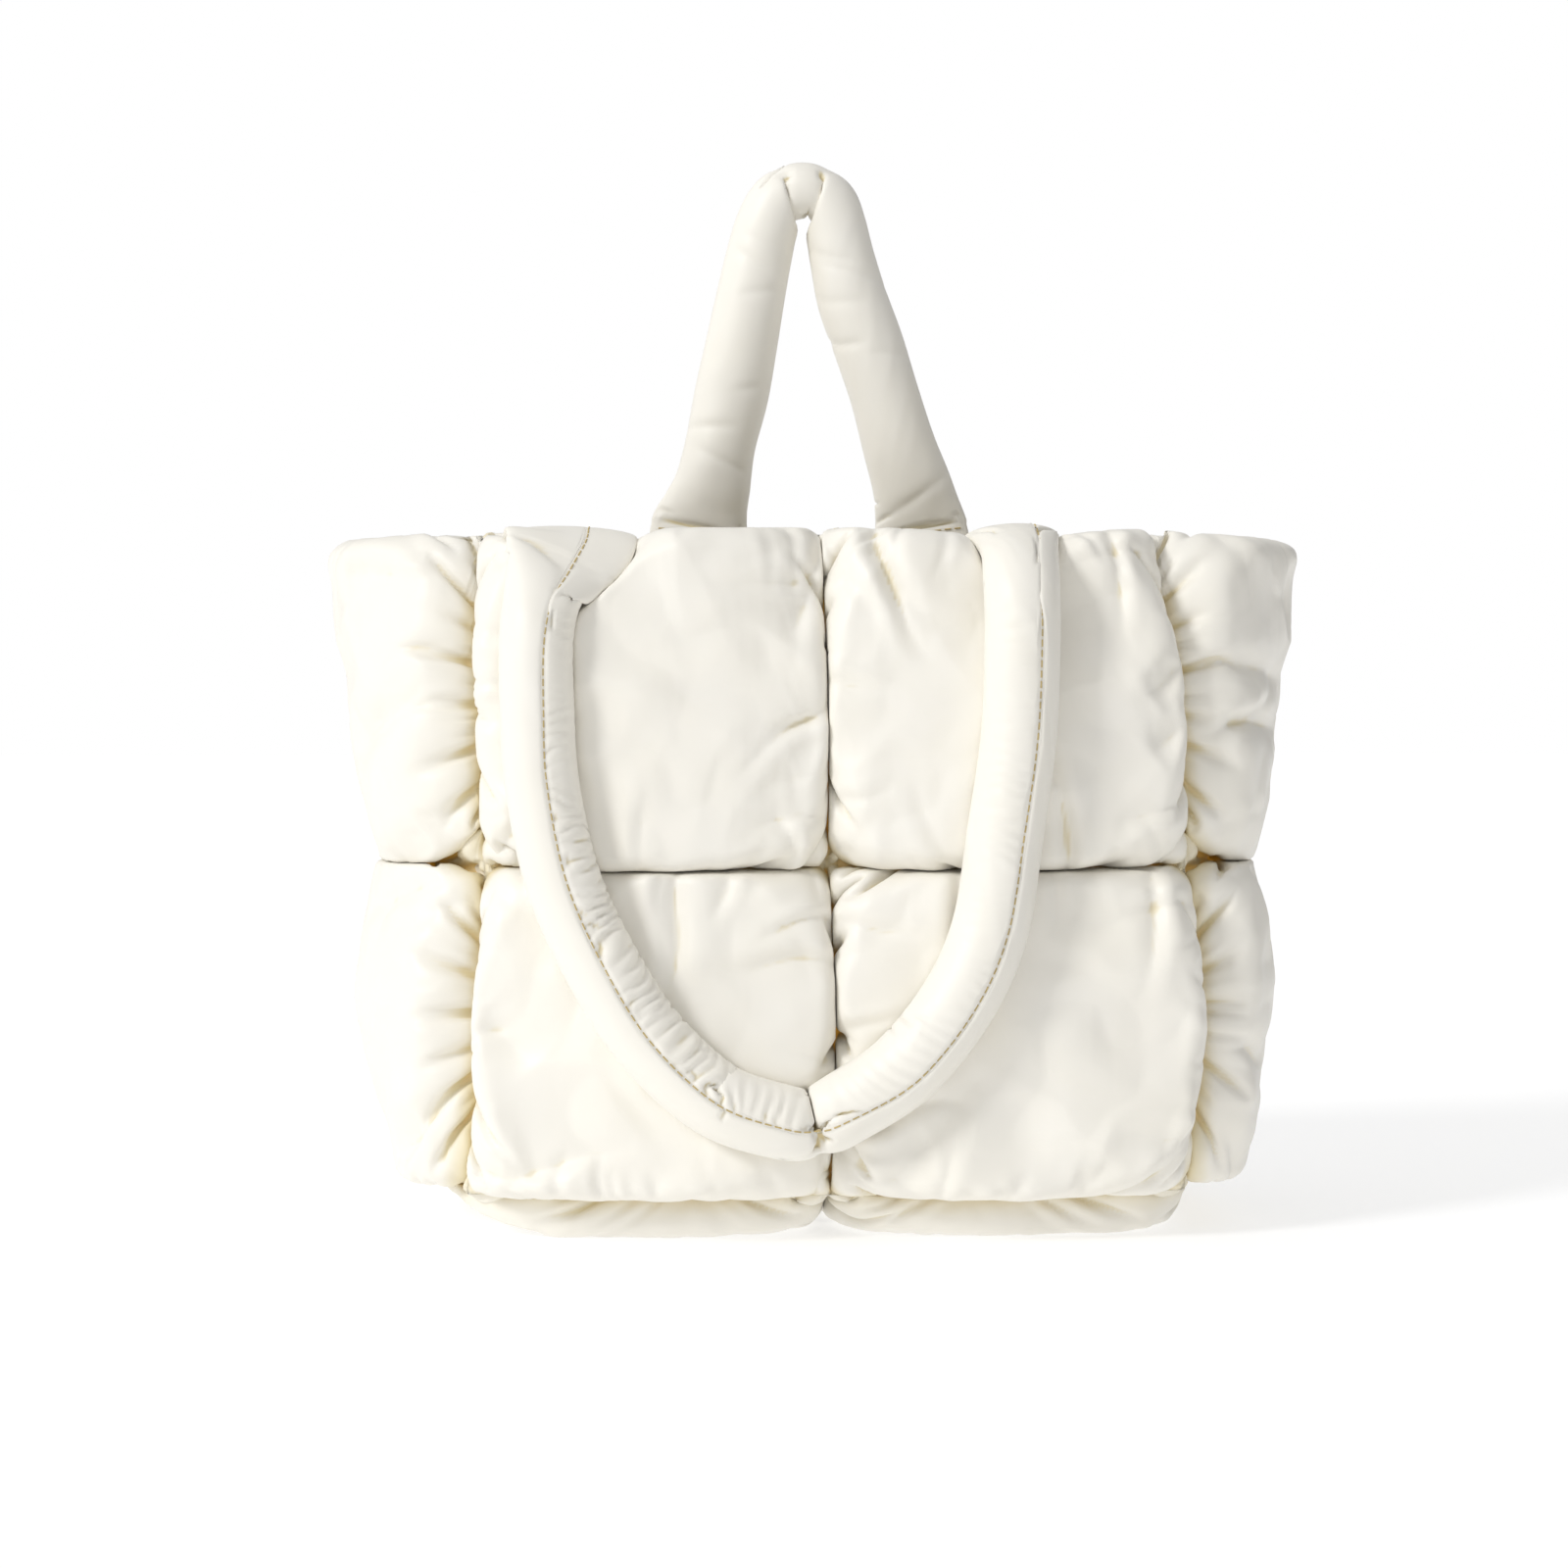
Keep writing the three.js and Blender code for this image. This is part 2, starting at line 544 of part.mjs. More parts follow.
const longTube = stuffedTube(hangingStations(), awayFromRim);
const shortTube = stuffedTube(standingStations(), () => new THREE.Vector3(0, 1, 0));

const pieces = {
  front_panel: paddedPanel(frontWall),
  back_panel: paddedPanel(backWall),
  left_gusset: paddedPanel(gusset(-1, leftFolds)),
  right_gusset: paddedPanel(gusset(1, rightFolds)),
  bottom_panel: paddedPanel(bottom),
  long_handle: pressedOn(longTube, frontWall),
  short_handle: pressedOn(shortTube, backWall),
};

const creamNylon = { color: 0xf4f0e6, roughness: 0.34, metalness: 0 };
const bag = new THREE.Group();
for (const [name, geometry] of Object.entries(pieces)) {
  geometry.computeVertexNormals();
  const mesh = new THREE.Mesh(geometry, new THREE.MeshStandardMaterial(creamNylon));
  mesh.name = name;
  bag.add(mesh);
}

// The origin is under the middle of the whole bag, on the floor.
const box = new THREE.Box3().setFromObject(bag);
const middle = box.getCenter(new THREE.Vector3());
bag.position.set(-middle.x, -middle.y, -box.min.z);

export default bag;
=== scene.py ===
import math

import bpy
import numpy as np
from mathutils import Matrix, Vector


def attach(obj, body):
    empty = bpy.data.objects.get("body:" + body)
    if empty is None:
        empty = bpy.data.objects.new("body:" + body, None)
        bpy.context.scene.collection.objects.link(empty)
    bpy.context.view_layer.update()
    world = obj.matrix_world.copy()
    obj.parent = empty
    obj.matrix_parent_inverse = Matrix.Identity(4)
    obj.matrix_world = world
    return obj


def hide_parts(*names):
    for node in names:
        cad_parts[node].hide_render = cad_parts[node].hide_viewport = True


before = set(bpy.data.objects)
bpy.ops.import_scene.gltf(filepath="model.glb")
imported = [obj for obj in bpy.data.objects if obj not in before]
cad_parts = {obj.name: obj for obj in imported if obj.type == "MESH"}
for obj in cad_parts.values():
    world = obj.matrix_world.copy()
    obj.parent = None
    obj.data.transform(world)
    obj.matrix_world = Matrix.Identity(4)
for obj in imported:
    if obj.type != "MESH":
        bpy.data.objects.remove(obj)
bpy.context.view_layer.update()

# Stage: a backlit white floor that fills the view, a window light from the left front, and a room that is
# brighter above and on the left. The long lens looks at the front, a little from the left and from above.
LENS = 100.0
SENSOR = 36.0
CAMERA_TURN, CAMERA_RISE = math.radians(-2.5), math.radians(2.5)
CAMERA_AWAY = 2.105
LOOKED_AT = Vector((-0.014, 0.0125, 0.208))

back = Vector((
    math.sin(CAMERA_TURN) * math.cos(CAMERA_RISE),
    -math.cos(CAMERA_TURN) * math.cos(CAMERA_RISE),
    math.sin(CAMERA_RISE),
))
camera = bpy.data.objects.new("camera", bpy.data.cameras.new("camera"))
camera.data.lens, camera.data.sensor_width = LENS, SENSOR
camera.location = LOOKED_AT + back * CAMERA_AWAY
camera.rotation_euler = back.to_track_quat("Z", "Y").to_euler()
bpy.context.collection.objects.link(camera)
bpy.context.scene.camera = camera


def linear(colour):
    """An sRGB hex colour as linear red, green, blue and alpha."""
    channels = [int(colour[k:k + 2], 16) / 255 for k in (1, 3, 5)]
    return [c / 12.92 if c < 0.04045 else ((c + 0.055) / 1.055) ** 2.4 for c in channels] + [1.0]


def add_node(tree, kind, settings=None, **sockets):
    """Adds a node. Sockets are given by name with _ for a space, or by number as s0, s1 and so on."""
    node = tree.nodes.new(kind)
    for key, value in (settings or {}).items():
        setattr(node, key, value)
    for key, value in sockets.items():
        place = int(key[1:]) if key[0] == "s" and key[1:].isdigit() else key.replace("_", " ")
        if isinstance(value, bpy.types.NodeSocket):
            tree.links.new(value, node.inputs[place])
        else:
            node.inputs[place].default_value = value
    return node


def material_tree(name):
    """A new material and its empty node tree."""
    made = bpy.data.materials.new(name)
    made.use_nodes = True
    made.node_tree.nodes.clear()
    return made, made.node_tree


# Opal acrylic sheet with a matt top, lit from below: just white, so that only the bag's soft shadow shows.
acrylic, tree = material_tree("backlit_white_acrylic")
shader = add_node(
    tree, "ShaderNodeBsdfPrincipled", Base_Color=linear("#c4c4c4"), Roughness=0.4, Specular_IOR_Level=0.0,
    Emission_Color=linear("#ffffff"), Emission_Strength=0.56,
)
add_node(tree, "ShaderNodeOutputMaterial", Surface=shader.outputs[0])

FLOOR_SIZE = 12.0
half = FLOOR_SIZE / 2
floor_corners = [(-half, -half, 0), (half, -half, 0), (half, half, 0), (-half, half, 0)]
floor_mesh = bpy.data.meshes.new("floor")
floor_mesh.from_pydata(floor_corners, [], [(0, 1, 2, 3)])
floor_mesh.materials.append(acrylic)
floor = bpy.data.objects.new("floor", floor_mesh)
bpy.context.collection.objects.link(floor)

bpy.context.scene.view_settings.view_transform = "Standard"
world = bpy.data.worlds.new("studio")
bpy.context.scene.world = world
world.use_nodes = True
tree = world.node_tree
tree.nodes.clear()
seen = add_node(tree, "ShaderNodeLightPath")
place = add_node(tree, "ShaderNodeTexCoord")
direction = add_node(tree, "ShaderNodeSeparateXYZ", Vector=place.outputs["Generated"])
ROOM_LIGHT, MORE_ABOVE, LESS_ON_RIGHT, DARKEST = 0.32, 0.5, 0.32, 0.04
from_above = add_node(
    tree, "ShaderNodeMath", {"operation": "MULTIPLY_ADD"},
    s0=direction.outputs["Z"], s1=MORE_ABOVE, s2=ROOM_LIGHT,
)
from_left = add_node(
    tree, "ShaderNodeMath", {"operation": "MULTIPLY_ADD"},
    s0=direction.outputs["X"], s1=-LESS_ON_RIGHT, s2=from_above.outputs[0],
)
room_light = add_node(tree, "ShaderNodeMath", {"operation": "MAXIMUM"}, s0=from_left.outputs[0], s1=DARKEST)
around_bag = add_node(tree, "ShaderNodeBackground", Color=linear("#ffffff"), Strength=room_light.outputs[0])
behind_bag = add_node(tree, "ShaderNodeBackground", Color=linear("#ffffff"), Strength=1.0)
both = add_node(
    tree, "ShaderNodeMixShader",
    s0=seen.outputs["Is Camera Ray"], s1=around_bag.outputs[0], s2=behind_bag.outputs[0],
)
add_node(tree, "ShaderNodeOutputWorld", Surface=both.outputs[0])

WINDOW_FROM = Vector((-0.9, -0.7, 0.68))
lamp = bpy.data.lights.new("window_light", "SUN")
lamp.energy, lamp.angle = 1.32, math.radians(13)
light = bpy.data.objects.new("window_light", lamp)
light.rotation_euler = WINDOW_FROM.to_track_quat("Z", "Y").to_euler()
bpy.context.collection.objects.link(light)

# Front and back walls: four down-filled pads each, sewn from a glossy nylon shell and a lining that are
# stitched together round the edge and along a cross. The cloth is cut larger than the wall, so it
# balloons, meets its neighbours in tight grooves and gathers at the seams. All sizes are millimetres.
MM = 0.001
SEAM_ORIGIN = np.array([1.954, 12.474, 0.0])  # the middle of the bottom seams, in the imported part
PANEL_WIDTH, WALL_HEIGHT, BASE_HEIGHT = 325.0, 305.0, 22.0
GUSSET_WIDTH = 158.0
WALL_BOW = 10.0
SEAM = 4.0
CELL = 2.5
PAD_DEPTH = 33.0
LINING_BULGE = 8.0
RIM_SWELL = 4.0  # how far the pads may rise over the rim
SEAM_GAP, CLOTH_GAP = 0.2, 0.25  # between the held edges of two pieces, and between two pads
UNEVEN = 0.03  # how unevenly the cloth is cut and stretched
FOLD_WANDER = 3.5
BLOWS = ((70, 0.38, 0.12), (22, 0.05, 0.03))  # for coarse and fine cells: steps, pressure, stiffness
BACK_RIM_SAG, GUSSET_RIM_SAG, FOOT_PRESS, FOOT_REACH = 7.0, 5.0, 5.0, 34.0
FEET_ON_RIM = (-0.375, 0.269)  # where the hanging handle crosses the front rim

# Seams at five heights: places across as shares of the panel width, bows as shares of the gusset width.
SEAMS = {
    "left": (-0.51, -0.484, -0.485, -0.484, -0.493),
    "centre": (0.003, 0.011, 0.002, 0.0, -0.007),
    "right": (0.514, 0.522, 0.514, 0.49, 0.469),
    "left_bow": (0.03, 0.175, 0.186, 0.225, 0.275),
    "right_bow": (0.03, 0.085, 0.127, 0.19, 0.3),
}


def smooth(values, place):
    """A smooth curve through values that are one step apart."""
    values = np.asarray(values, float)
    last = len(values) - 1
    i = np.clip(np.floor(place).astype(int), 0, last - 1)
    f = place - i
    a, b = values[i], values[i + 1]
    before = np.where(i > 0, values[np.maximum(i - 1, 0)], 2 * a - b)
    after = np.where(i + 2 <= last, values[np.minimum(i + 2, last)], 2 * b - a)
    bend = (2 * before - 5 * a + 4 * b - after) * f ** 2 + (3 * a - before - 3 * b + after) * f ** 3
    return a + 0.5 * ((b - before) * f + bend)


def seam_at(column, up):
    return smooth(SEAMS[column], np.asarray(up, float) * 4)


def half_depth(side, up):
    """Half of the bag's depth at a side seam: the gusset's cloth keeps its width as it bows."""
    bow = GUSSET_WIDTH * seam_at("left_bow" if side < 0 else "right_bow", up)
    return 0.5 * np.sqrt(GUSSET_WIDTH ** 2 - 16 / 3 * bow ** 2)


def seam_x(across, up):
    edge = np.where(np.asarray(across) < 0, seam_at("left", up), seam_at("right", up))
    centre = seam_at("centre", up)
    return PANEL_WIDTH * (centre + (edge - centre) * np.abs(across))


def wall_depth(across, up):
    share = (across + 1) / 2
    return half_depth(-1, up) * (1 - share) + half_depth(1, up) * share + WALL_BOW * (1 - across ** 2)


def wall_point(across, up, side):
    x = seam_x(across, up)
    if side > 0:
        drop = BACK_RIM_SAG * (1 - across ** 4)
    else:
        drop = FOOT_PRESS * sum(np.exp(-((x - PANEL_WIDTH * foot) / FOOT_REACH) ** 2) for foot in FEET_ON_RIM)
    z = BASE_HEIGHT + WALL_HEIGHT * up - drop * np.maximum(up, 0) ** 4
    return np.stack([x, side * wall_depth(across, up), z], -1)


def gusset_point(along, up, side):
    bow = GUSSET_WIDTH * seam_at("left_bow" if side < 0 else "right_bow", up)
    x = seam_x(side + 0 * up, up) + side * bow * (1 - along ** 2)
    z = BASE_HEIGHT + WALL_HEIGHT * up - GUSSET_RIM_SAG * (1 - along ** 2) * np.maximum(up, 0) ** 4
    return np.stack([x, along * half_depth(side, up), z], -1)


def unit(v):
    return v / np.maximum(np.linalg.norm(v, axis=-1, keepdims=True), 1e-9)


def pull(cloth, free, a, b, rest, tight, loose):
    """Moves the ends of the threads a-b towards their rest length, more when stretched than when slack."""
    thread = cloth[b] - cloth[a]
    length = np.maximum(np.sqrt(np.einsum("...k,...k->...", thread, thread)), 1e-6)
    gap = (length - rest) / length
    gap *= np.where(gap > 0, tight, loose)
    one, other = free[a], free[b]
    share = gap / np.maximum(one + other, 1e-9)
    cloth[a] += (one * share)[..., None] * thread
    cloth[b] -= (other * share)[..., None] * thread


def thread_pairs(across, up, closed, cloth):
    """Neighbouring crossings as slices, no crossing twice in a set, with the threads' rest lengths."""
    rows, cols = up.shape[0] + 1, up.shape[1]
    every = slice(None)
    beside, base = (np.roll(up, -1, 1), up) if closed else (up[:, 1:], up[:, :-1])
    skew = np.hypot((across[:-1] + across[1:]) / 2, (base + beside) / 2)
    skews = [skew, skew]
    if closed:
        # A tube's cells keep the slant that they are laid out with.
        beside = np.roll(cloth, -1, 1)
        ends = (beside[1:] - cloth[:-1], cloth[1:] - beside[:-1])
        slants = [np.linalg.norm(end, axis=-1) for end in ends]
        mean = np.hypot(*slants) / math.sqrt(2)
        skews = [skew * slant / mean for slant in slants]
    ends = [(slice(k, k + (cols - k) // 2 * 2, 2), slice(k + 1, k + (cols - k) // 2 * 2, 2)) for k in (0, 1)]
    if closed:
        ends.append((slice(cols - 1, cols), slice(0, 1)))
    for left, right in ends:
        yield 1.0, (every, left), (every, right), across[:, left]
        yield 0.5, (slice(0, rows - 1), left), (slice(1, rows), right), skews[0][:, left]
        yield 0.5, (slice(1, rows), left), (slice(0, rows - 1), right), skews[1][:, left]
    for k in (0, 1):
        count = (rows - k) // 2 * 2
        low, high = slice(k, k + count, 2), slice(k + 1, k + count, 2)
        yield 1.0, (low, every), (high, every), up[low]


def brace_pairs(across, up, reach, closed):
    """Crossings that are some cells apart. Cloth resists folding, so these don't come much closer."""
    every = slice(None)
    rows, cols = up.shape[0] + 1, up.shape[1]
    total = np.cumsum(np.pad(up, ((1, 0), (0, 0))), 0)
    yield (slice(0, rows - reach), every), (slice(reach, rows), every), total[reach:] - total[:-reach]
    total = np.cumsum(np.pad(across, ((0, 0), (1, 0))), 1)
    inner = total[:, reach:cols] - total[:, :cols - reach]
    yield (every, slice(0, cols - reach)), (every, slice(reach, cols)), inner
    if closed:
        wrapped = total[:, -1:] - total[:, cols - reach:cols] + total[:, :reach]
        yield (every, slice(cols - reach, cols)), (every, slice(0, reach)), wrapped


def settle(cloth, across, up, free, room, steps, pressure, loose=0.5, stiff=0.12, sweeps=5, closed=False):
    """Blows the cloth up against its threads, steps times. room(cloth) keeps it out of its neighbours."""
    pairs = list(thread_pairs(across, up, closed, cloth))
    braces = [pair for reach in (2, 4) for pair in brace_pairs(across, up, reach, closed)]
    cell = 4 * np.median(across) * np.median(up)
    before = cloth.copy()
    for _ in range(steps):
        drift = 0.9 * (cloth - before)
        before = cloth.copy()
        push = np.zeros_like(cloth)
        if closed:
            around = np.roll(cloth, -1, 1) - np.roll(cloth, 1, 1)
            push[1:-1] = np.cross(around[1:-1], cloth[2:] - cloth[:-2]) / cell
        else:
            around = cloth[1:-1, 2:] - cloth[1:-1, :-2]
            push[1:-1, 1:-1] = np.cross(around, cloth[2:, 1:-1] - cloth[:-2, 1:-1]) / cell
        cloth += (drift * (free > 0)[..., None] + pressure * push * free[..., None])
        for _ in range(sweeps):
            for share, a, b, rest in pairs:
                pull(cloth, free, a, b, rest, 1.0, share * loose)
            for a, b, rest in braces:
                span = cloth[b] - cloth[a]
                short = np.minimum(np.sqrt(np.einsum("...k,...k->...", span, span)) / rest - 1, 0)
                span *= (0.5 * stiff * short)[..., None]
                cloth[a] += span * free[a][..., None]
                cloth[b] -= span * free[b][..., None]
            room(cloth)
    return cloth


def finer(grid, closed=False):
    """The same sheet with half the cell size."""
    def halve(points):
        points = np.concatenate([2 * points[:1] - points[1:2], points, 2 * points[-1:] - points[-2:-1]])
        middle = (9 * (points[1:-2] + points[2:-1]) - points[:-3] - points[3:]) / 16
        out = np.empty((2 * len(middle) + 1,) + points.shape[1:])
        out[::2], out[1::2] = points[1:-1], middle
        return out
    return np.swapaxes(halve(np.swapaxes(halve(grid), 0, 1)), 0, 1)


def soft_noise(shape, waves, seed):
    """Smooth random values about 0, with waves as the number of lumps up and across."""
    rough = np.random.default_rng(seed).normal(0, 1, (int(waves[0]) + 3, int(waves[1]) + 3))
    rows, cols = (np.linspace(0, size - 1.001, count) for size, count in zip(rough.shape, shape))
    rough = np.array([smooth(line, cols) for line in rough])
    return np.array([smooth(line, rows) for line in rough.T]).T


def crown(place, rim=False):
    power = np.where(np.logical_and(rim, place > 0), 7.0, 3.2)
    return np.maximum(1 - np.abs(place) ** power, 0) ** 0.45


def pad_up(up):
    return 4 * np.where(up < 0.5, up, up - 0.5) - 1


def fold_depth(folds, across, up, width):
    """Creases from point to point on a sheet, sharp at the bottom, as shares of the pad's depth."""
    depth = np.zeros(np.broadcast(across, up).shape)
    px, py = across * width / 2, up * WALL_HEIGHT
    for ax, ay, bx, by, deep, wide in folds:
        ax, bx, ay, by = ax * width / 2, bx * width / 2, ay * WALL_HEIGHT, by * WALL_HEIGHT
        share = ((px - ax) * (bx - ax) + (py - ay) * (by - ay)) / ((bx - ax) ** 2 + (by - ay) ** 2)
        share = np.clip(share, 0, 1)
        away = np.hypot(px - ax - share * (bx - ax), py - ay - share * (by - ay)) / (wide * WALL_HEIGHT)
        pinched = 1 - 0.8 * np.abs(2 * share - 1) ** 3
        depth += 1.3 * deep * np.exp(-away ** 1.4) * (1 - 0.35 * share) * pinched
    return depth


def pleat(px, py, start, end, deep, wide, way=1):
    """A fold from start to end that dies out there: a sharp valley with a ridge on one side. Millimetres."""
    length = math.dist(start, end)
    ux, uy = (end[0] - start[0]) / length, (end[1] - start[1]) / length
    along = (px - start[0]) * ux + (py - start[1]) * uy
    share = np.clip(along / length, 0, 1)
    off = way * ((py - start[1]) * ux - (px - start[0]) * uy) / wide
    valley = np.exp(-np.abs(off) ** 1.3)
    ridge = 0.65 * np.exp(-((off - 1.9) / 1.2) ** 2)
    return deep * (ridge - valley) * (1 - share ** 2) * np.exp(-((along - share * length) / wide / 2) ** 2)


def seam_pleats(px, py, seams_x, seams_y, spacing, strength, seed):
    """Pleats that start in the seams round each pad, longest in its corners, at about this spacing."""
    random = np.random.default_rng(seed)
    height = np.zeros(px.shape)
    for x0, x1 in zip(seams_x[:-1], seams_x[1:]):
        for y0, y1 in zip(seams_y[:-1], seams_y[1:]):
            middle = np.array([(x0 + x1) / 2, (y0 + y1) / 2])
            corners = np.array([(x0, y0), (x1, y0), (x1, y1), (x0, y1)])
            for k in range(4):
                edge = corners[(k + 1) % 4] - corners[k]
                size = np.hypot(*edge)
                count = int(size / spacing)
                inwards = np.array([-edge[1], edge[0]]) / size
                for i in range(count):
                    share = (i + random.uniform(0.1, 0.9)) / count
                    start = corners[k] + edge * share + inwards * 5
                    to_middle = (middle - start) / np.hypot(*(middle - start))
                    cornered = abs(2 * share - 1) ** 3
                    heading = inwards + 1.2 * cornered * to_middle + random.normal(0, 0.35) * edge / size
                    reach = 14 + random.gamma(2.0, 9.0) + 18 * cornered
                    end = start + heading / np.hypot(*heading) * reach
                    deep = strength * (0.5 + 0.03 * reach) * random.uniform(0.4, 1.3)
                    height += pleat(px, py, start, end, deep, 1.3 + 0.035 * reach, random.choice((-1, 1)))
    return height


def slack_lumps(shape, waves, seed):
    """Broad dents between soft ridges, as shares of the pad's depth."""
    broad = soft_noise(shape, waves, seed)
    fine = np.abs(soft_noise(shape, [2 * wave for wave in waves], seed + 50))
    return 0.02 * broad - 0.03 * (fine - 0.6)


def mitre(side, up, back):
    """The seam between a wall and a gusset: its corner, the way out, and the ways along wall and gusset."""
    corner = wall_point(side + 0 * up, up, back)
    along_wall = unit(wall_point(side * 0.98 + 0 * up, up, back) - corner)
    along_gusset = unit(gusset_point(back * 0.98 + 0 * up, up, side) - corner)
    outwards = -unit(along_wall + along_gusset)
    return corner, outwards, along_wall, along_gusset


def mitre_plane(outwards, along_wall, up):
    """The normal of an upright plane in a side seam: the wall's cloth stays on one side of it."""
    outwards = unit(np.stack([np.clip(outwards[..., 0], -0.25, 0.25), outwards[..., 1], 0 * up], -1))
    return unit(along_wall - outwards * np.einsum("...k,...k->...", along_wall, outwards)[..., None])


def level_planes(point, a, b, tilt):
    """Planes between the upper and lower pads, over the bottom and over the rim: where, corner, normal."""
    waist = point(a, 0.5 + 0 * b)
    return [
        (b > 0.5, waist, tilt),
        (b < 0.5, waist, -tilt),
        (b < 0.3, point(a, 0 * b), tilt),
        (b > 0.7, point(a, 1 + 0 * b) + np.array([0, 0, RIM_SWELL]), np.array([0, 0, -1.0])),
    ]


def sewn_edges(a, b, middle, out, way, seams, down):
    """A sheet's seams, moved half a seam out (way 1) or in (way -1). Seams are (corner, outwards, along)."""
    held = middle + out * way * SEAM / 2
    for end, (corner, outwards, along) in zip((-1, 1), seams):
        held = np.where((a == end)[..., None], corner + way * outwards * SEAM / 2 + SEAM_GAP * along, held)
    under = way * unit(np.array(down)) * SEAM / 2 + np.array([0.0, 0.0, SEAM_GAP])
    return np.where((b == 0)[..., None], middle + under, held)


def sheet_surface(sheet, cols, rows):
    """Places across and up a sheet, its middle surface there, and the way out of the bag."""
    a, b = np.meshgrid(np.linspace(-1, 1, cols), np.linspace(*sheet["span"], rows))
    middle = sheet["point"](a, b)
    out = unit(np.cross(
        sheet["point"](a + 1e-3, b) - sheet["point"](a - 1e-3, b),
        sheet["point"](a, b + 1e-3) - sheet["point"](a, b - 1e-3),
    )) * sheet["faces"]
    return a, b, middle, out


def sheet_noise(sheet, shape, size, seed):
    """Smooth random values about 0 on a sheet, in lumps of about this size."""
    return soft_noise(shape, [length / size for length in (sheet["height"], sheet["width"])], seed)


def blow_pads(sheet):
    """Simulates one sheet of pads, first with coarse cells, then with cells of half the size."""
    for level, (steps, pressure, stiff) in enumerate(BLOWS):
        sizes = (sheet["width"], sheet["height"])
        cols, rows = (int(round(size / CELL / 4)) * 4 * 2 ** level + 1 for size in sizes)
        a, b, middle, out = sheet_surface(sheet, cols, rows)
        pad_a, pad_b, full = sheet["pads"](a, b)
        dome = PAD_DEPTH * (0.86 + 0.14 * np.cos(pad_a * math.pi / 2) * np.cos(pad_b * math.pi / 2))
        dome = SEAM / 2 + dome * sheet["round"](a, b) * (1 - sheet["folds"](a, b))
        held = sheet["held"](a, b)
        free = np.where(held, 0.0, 1.0)
        if level == 0:
            grid = middle + out * (SEAM / 2 + 0.9 * (dome - SEAM / 2) * full)[..., None]
        else:
            grid = finer(grid)
        grid = np.where(held[..., None], sheet["edges"](a, b, middle, out, 1.0), grid)
        if level == 0:
            # The flat cloth, cut larger than the wall.
            spare_across, spare_up = sheet["spare"](a, b)
            spare_across = spare_across + UNEVEN * sheet_noise(sheet, a.shape, 12, 5)
            spare_up = spare_up + UNEVEN * sheet_noise(sheet, a.shape, 12, 6)
            across = np.linalg.norm(middle[:, 1:] - middle[:, :-1], axis=-1)
            up = np.linalg.norm(middle[1:] - middle[:-1], axis=-1)
            across *= 1 + (spare_across[:, 1:] + spare_across[:, :-1]) / 2
            up *= 1 + (spare_up[1:] + spare_up[:-1]) / 2
        else:
            # The blown-up cloth with a little slack: most beside a seam, where it wrinkles across it.
            slack_across = 0.012 + 0.05 * np.abs(pad_b) ** 5 + UNEVEN * sheet_noise(sheet, a.shape, 7, 7)
            slack_up = 0.012 + 0.07 * np.abs(pad_a) ** 5 + UNEVEN * sheet_noise(sheet, a.shape, 7, 8)
            across = np.linalg.norm(grid[:, 1:] - grid[:, :-1], axis=-1) * (1 + slack_across[:, 1:])
            up = np.linalg.norm(grid[1:] - grid[:-1], axis=-1) * (1 + slack_up[1:])
        planes = sheet["planes"](a, b)

        def room(cloth):
            depth = np.einsum("...k,...k->...", cloth - middle, out)
            cloth -= (0.25 * np.maximum(depth - dome, 0) * free)[..., None] * out
            for where, corner, normal in planes:
                inside = np.einsum("...k,...k->...", cloth - corner, normal) - CLOTH_GAP
                cloth -= (np.minimum(inside, 0) * where * free)[..., None] * normal
            if "press" in sheet:
                sheet["press"](cloth, free)

        grid = settle(grid, across, up, free, room, steps, pressure * sheet["faces"], stiff=stiff)

    # Crisp folds in the blown-up cloth, none of them quite straight, and flat facets between soft ridges.
    low, high = sheet["span"]
    px = a * sheet["width"] / 2 + FOLD_WANDER * sheet_noise(sheet, a.shape, 30, 21)
    py = (b - low) / (high - low) * sheet["height"] + FOLD_WANDER * sheet_noise(sheet, a.shape, 30, 22)
    height = seam_pleats(px, py, *sheet["seams"], sheet["spacing"], sheet["strength"], sheet["seed"])
    for ax, ay, bx, by, deep, wide in sheet["creases"]:
        start = (ax * sheet["width"] / 2, ay * sheet["height"])
        end = (bx * sheet["width"] / 2, by * sheet["height"])
        height += pleat(px, py, start, end, sheet["fold"] * deep, 0.55 * wide * sheet["height"])
    facets = np.abs(sheet_noise(sheet, a.shape, 48, sheet["seed"] + 1))
    facets += 0.4 * np.abs(sheet_noise(sheet, a.shape, 22, sheet["seed"] + 2))
    height -= sheet["facets"] * (facets - 0.9) * np.clip(full, 0, 1)
    grid += (height * free * np.clip(full, 0, 1))[..., None] * out
    room(grid)
    # How deep in a groove the cloth lies, less where four pads meet and not at the rim: it is painted into
    # the cloth's colour as shade and ochre bounce light.
    sunk = 1 - np.einsum("...k,...k->...", grid - middle, out) / PAD_DEPTH
    open_corner = 1 - 0.6 * np.abs(pad_a * pad_b) ** 4
    off_rim = np.where((b > 0.9) & (low == 0), 0.0, 1.0)
    painted_groove_shade = sheet["shade"] * open_corner * np.clip((sunk - 0.55) / 0.45, 0, 1) * off_rim

    # The lining is smooth, in cells of twice the size.
    a, b, middle, out = sheet_surface(sheet, (cols - 1) // 2 + 1, (rows - 1) // 2 + 1)
    pad_a, pad_b, _ = sheet["pads"](a, b)
    swell = SEAM / 2 + LINING_BULGE * np.cos(pad_a * math.pi / 2) * np.cos(pad_b * math.pi / 2)
    lining_edges = sheet["edges"](a, b, middle, out, -1.0)
    lining = np.where(sheet["held"](a, b)[..., None], lining_edges, middle - out * swell[..., None])
    return grid, lining, painted_groove_shade


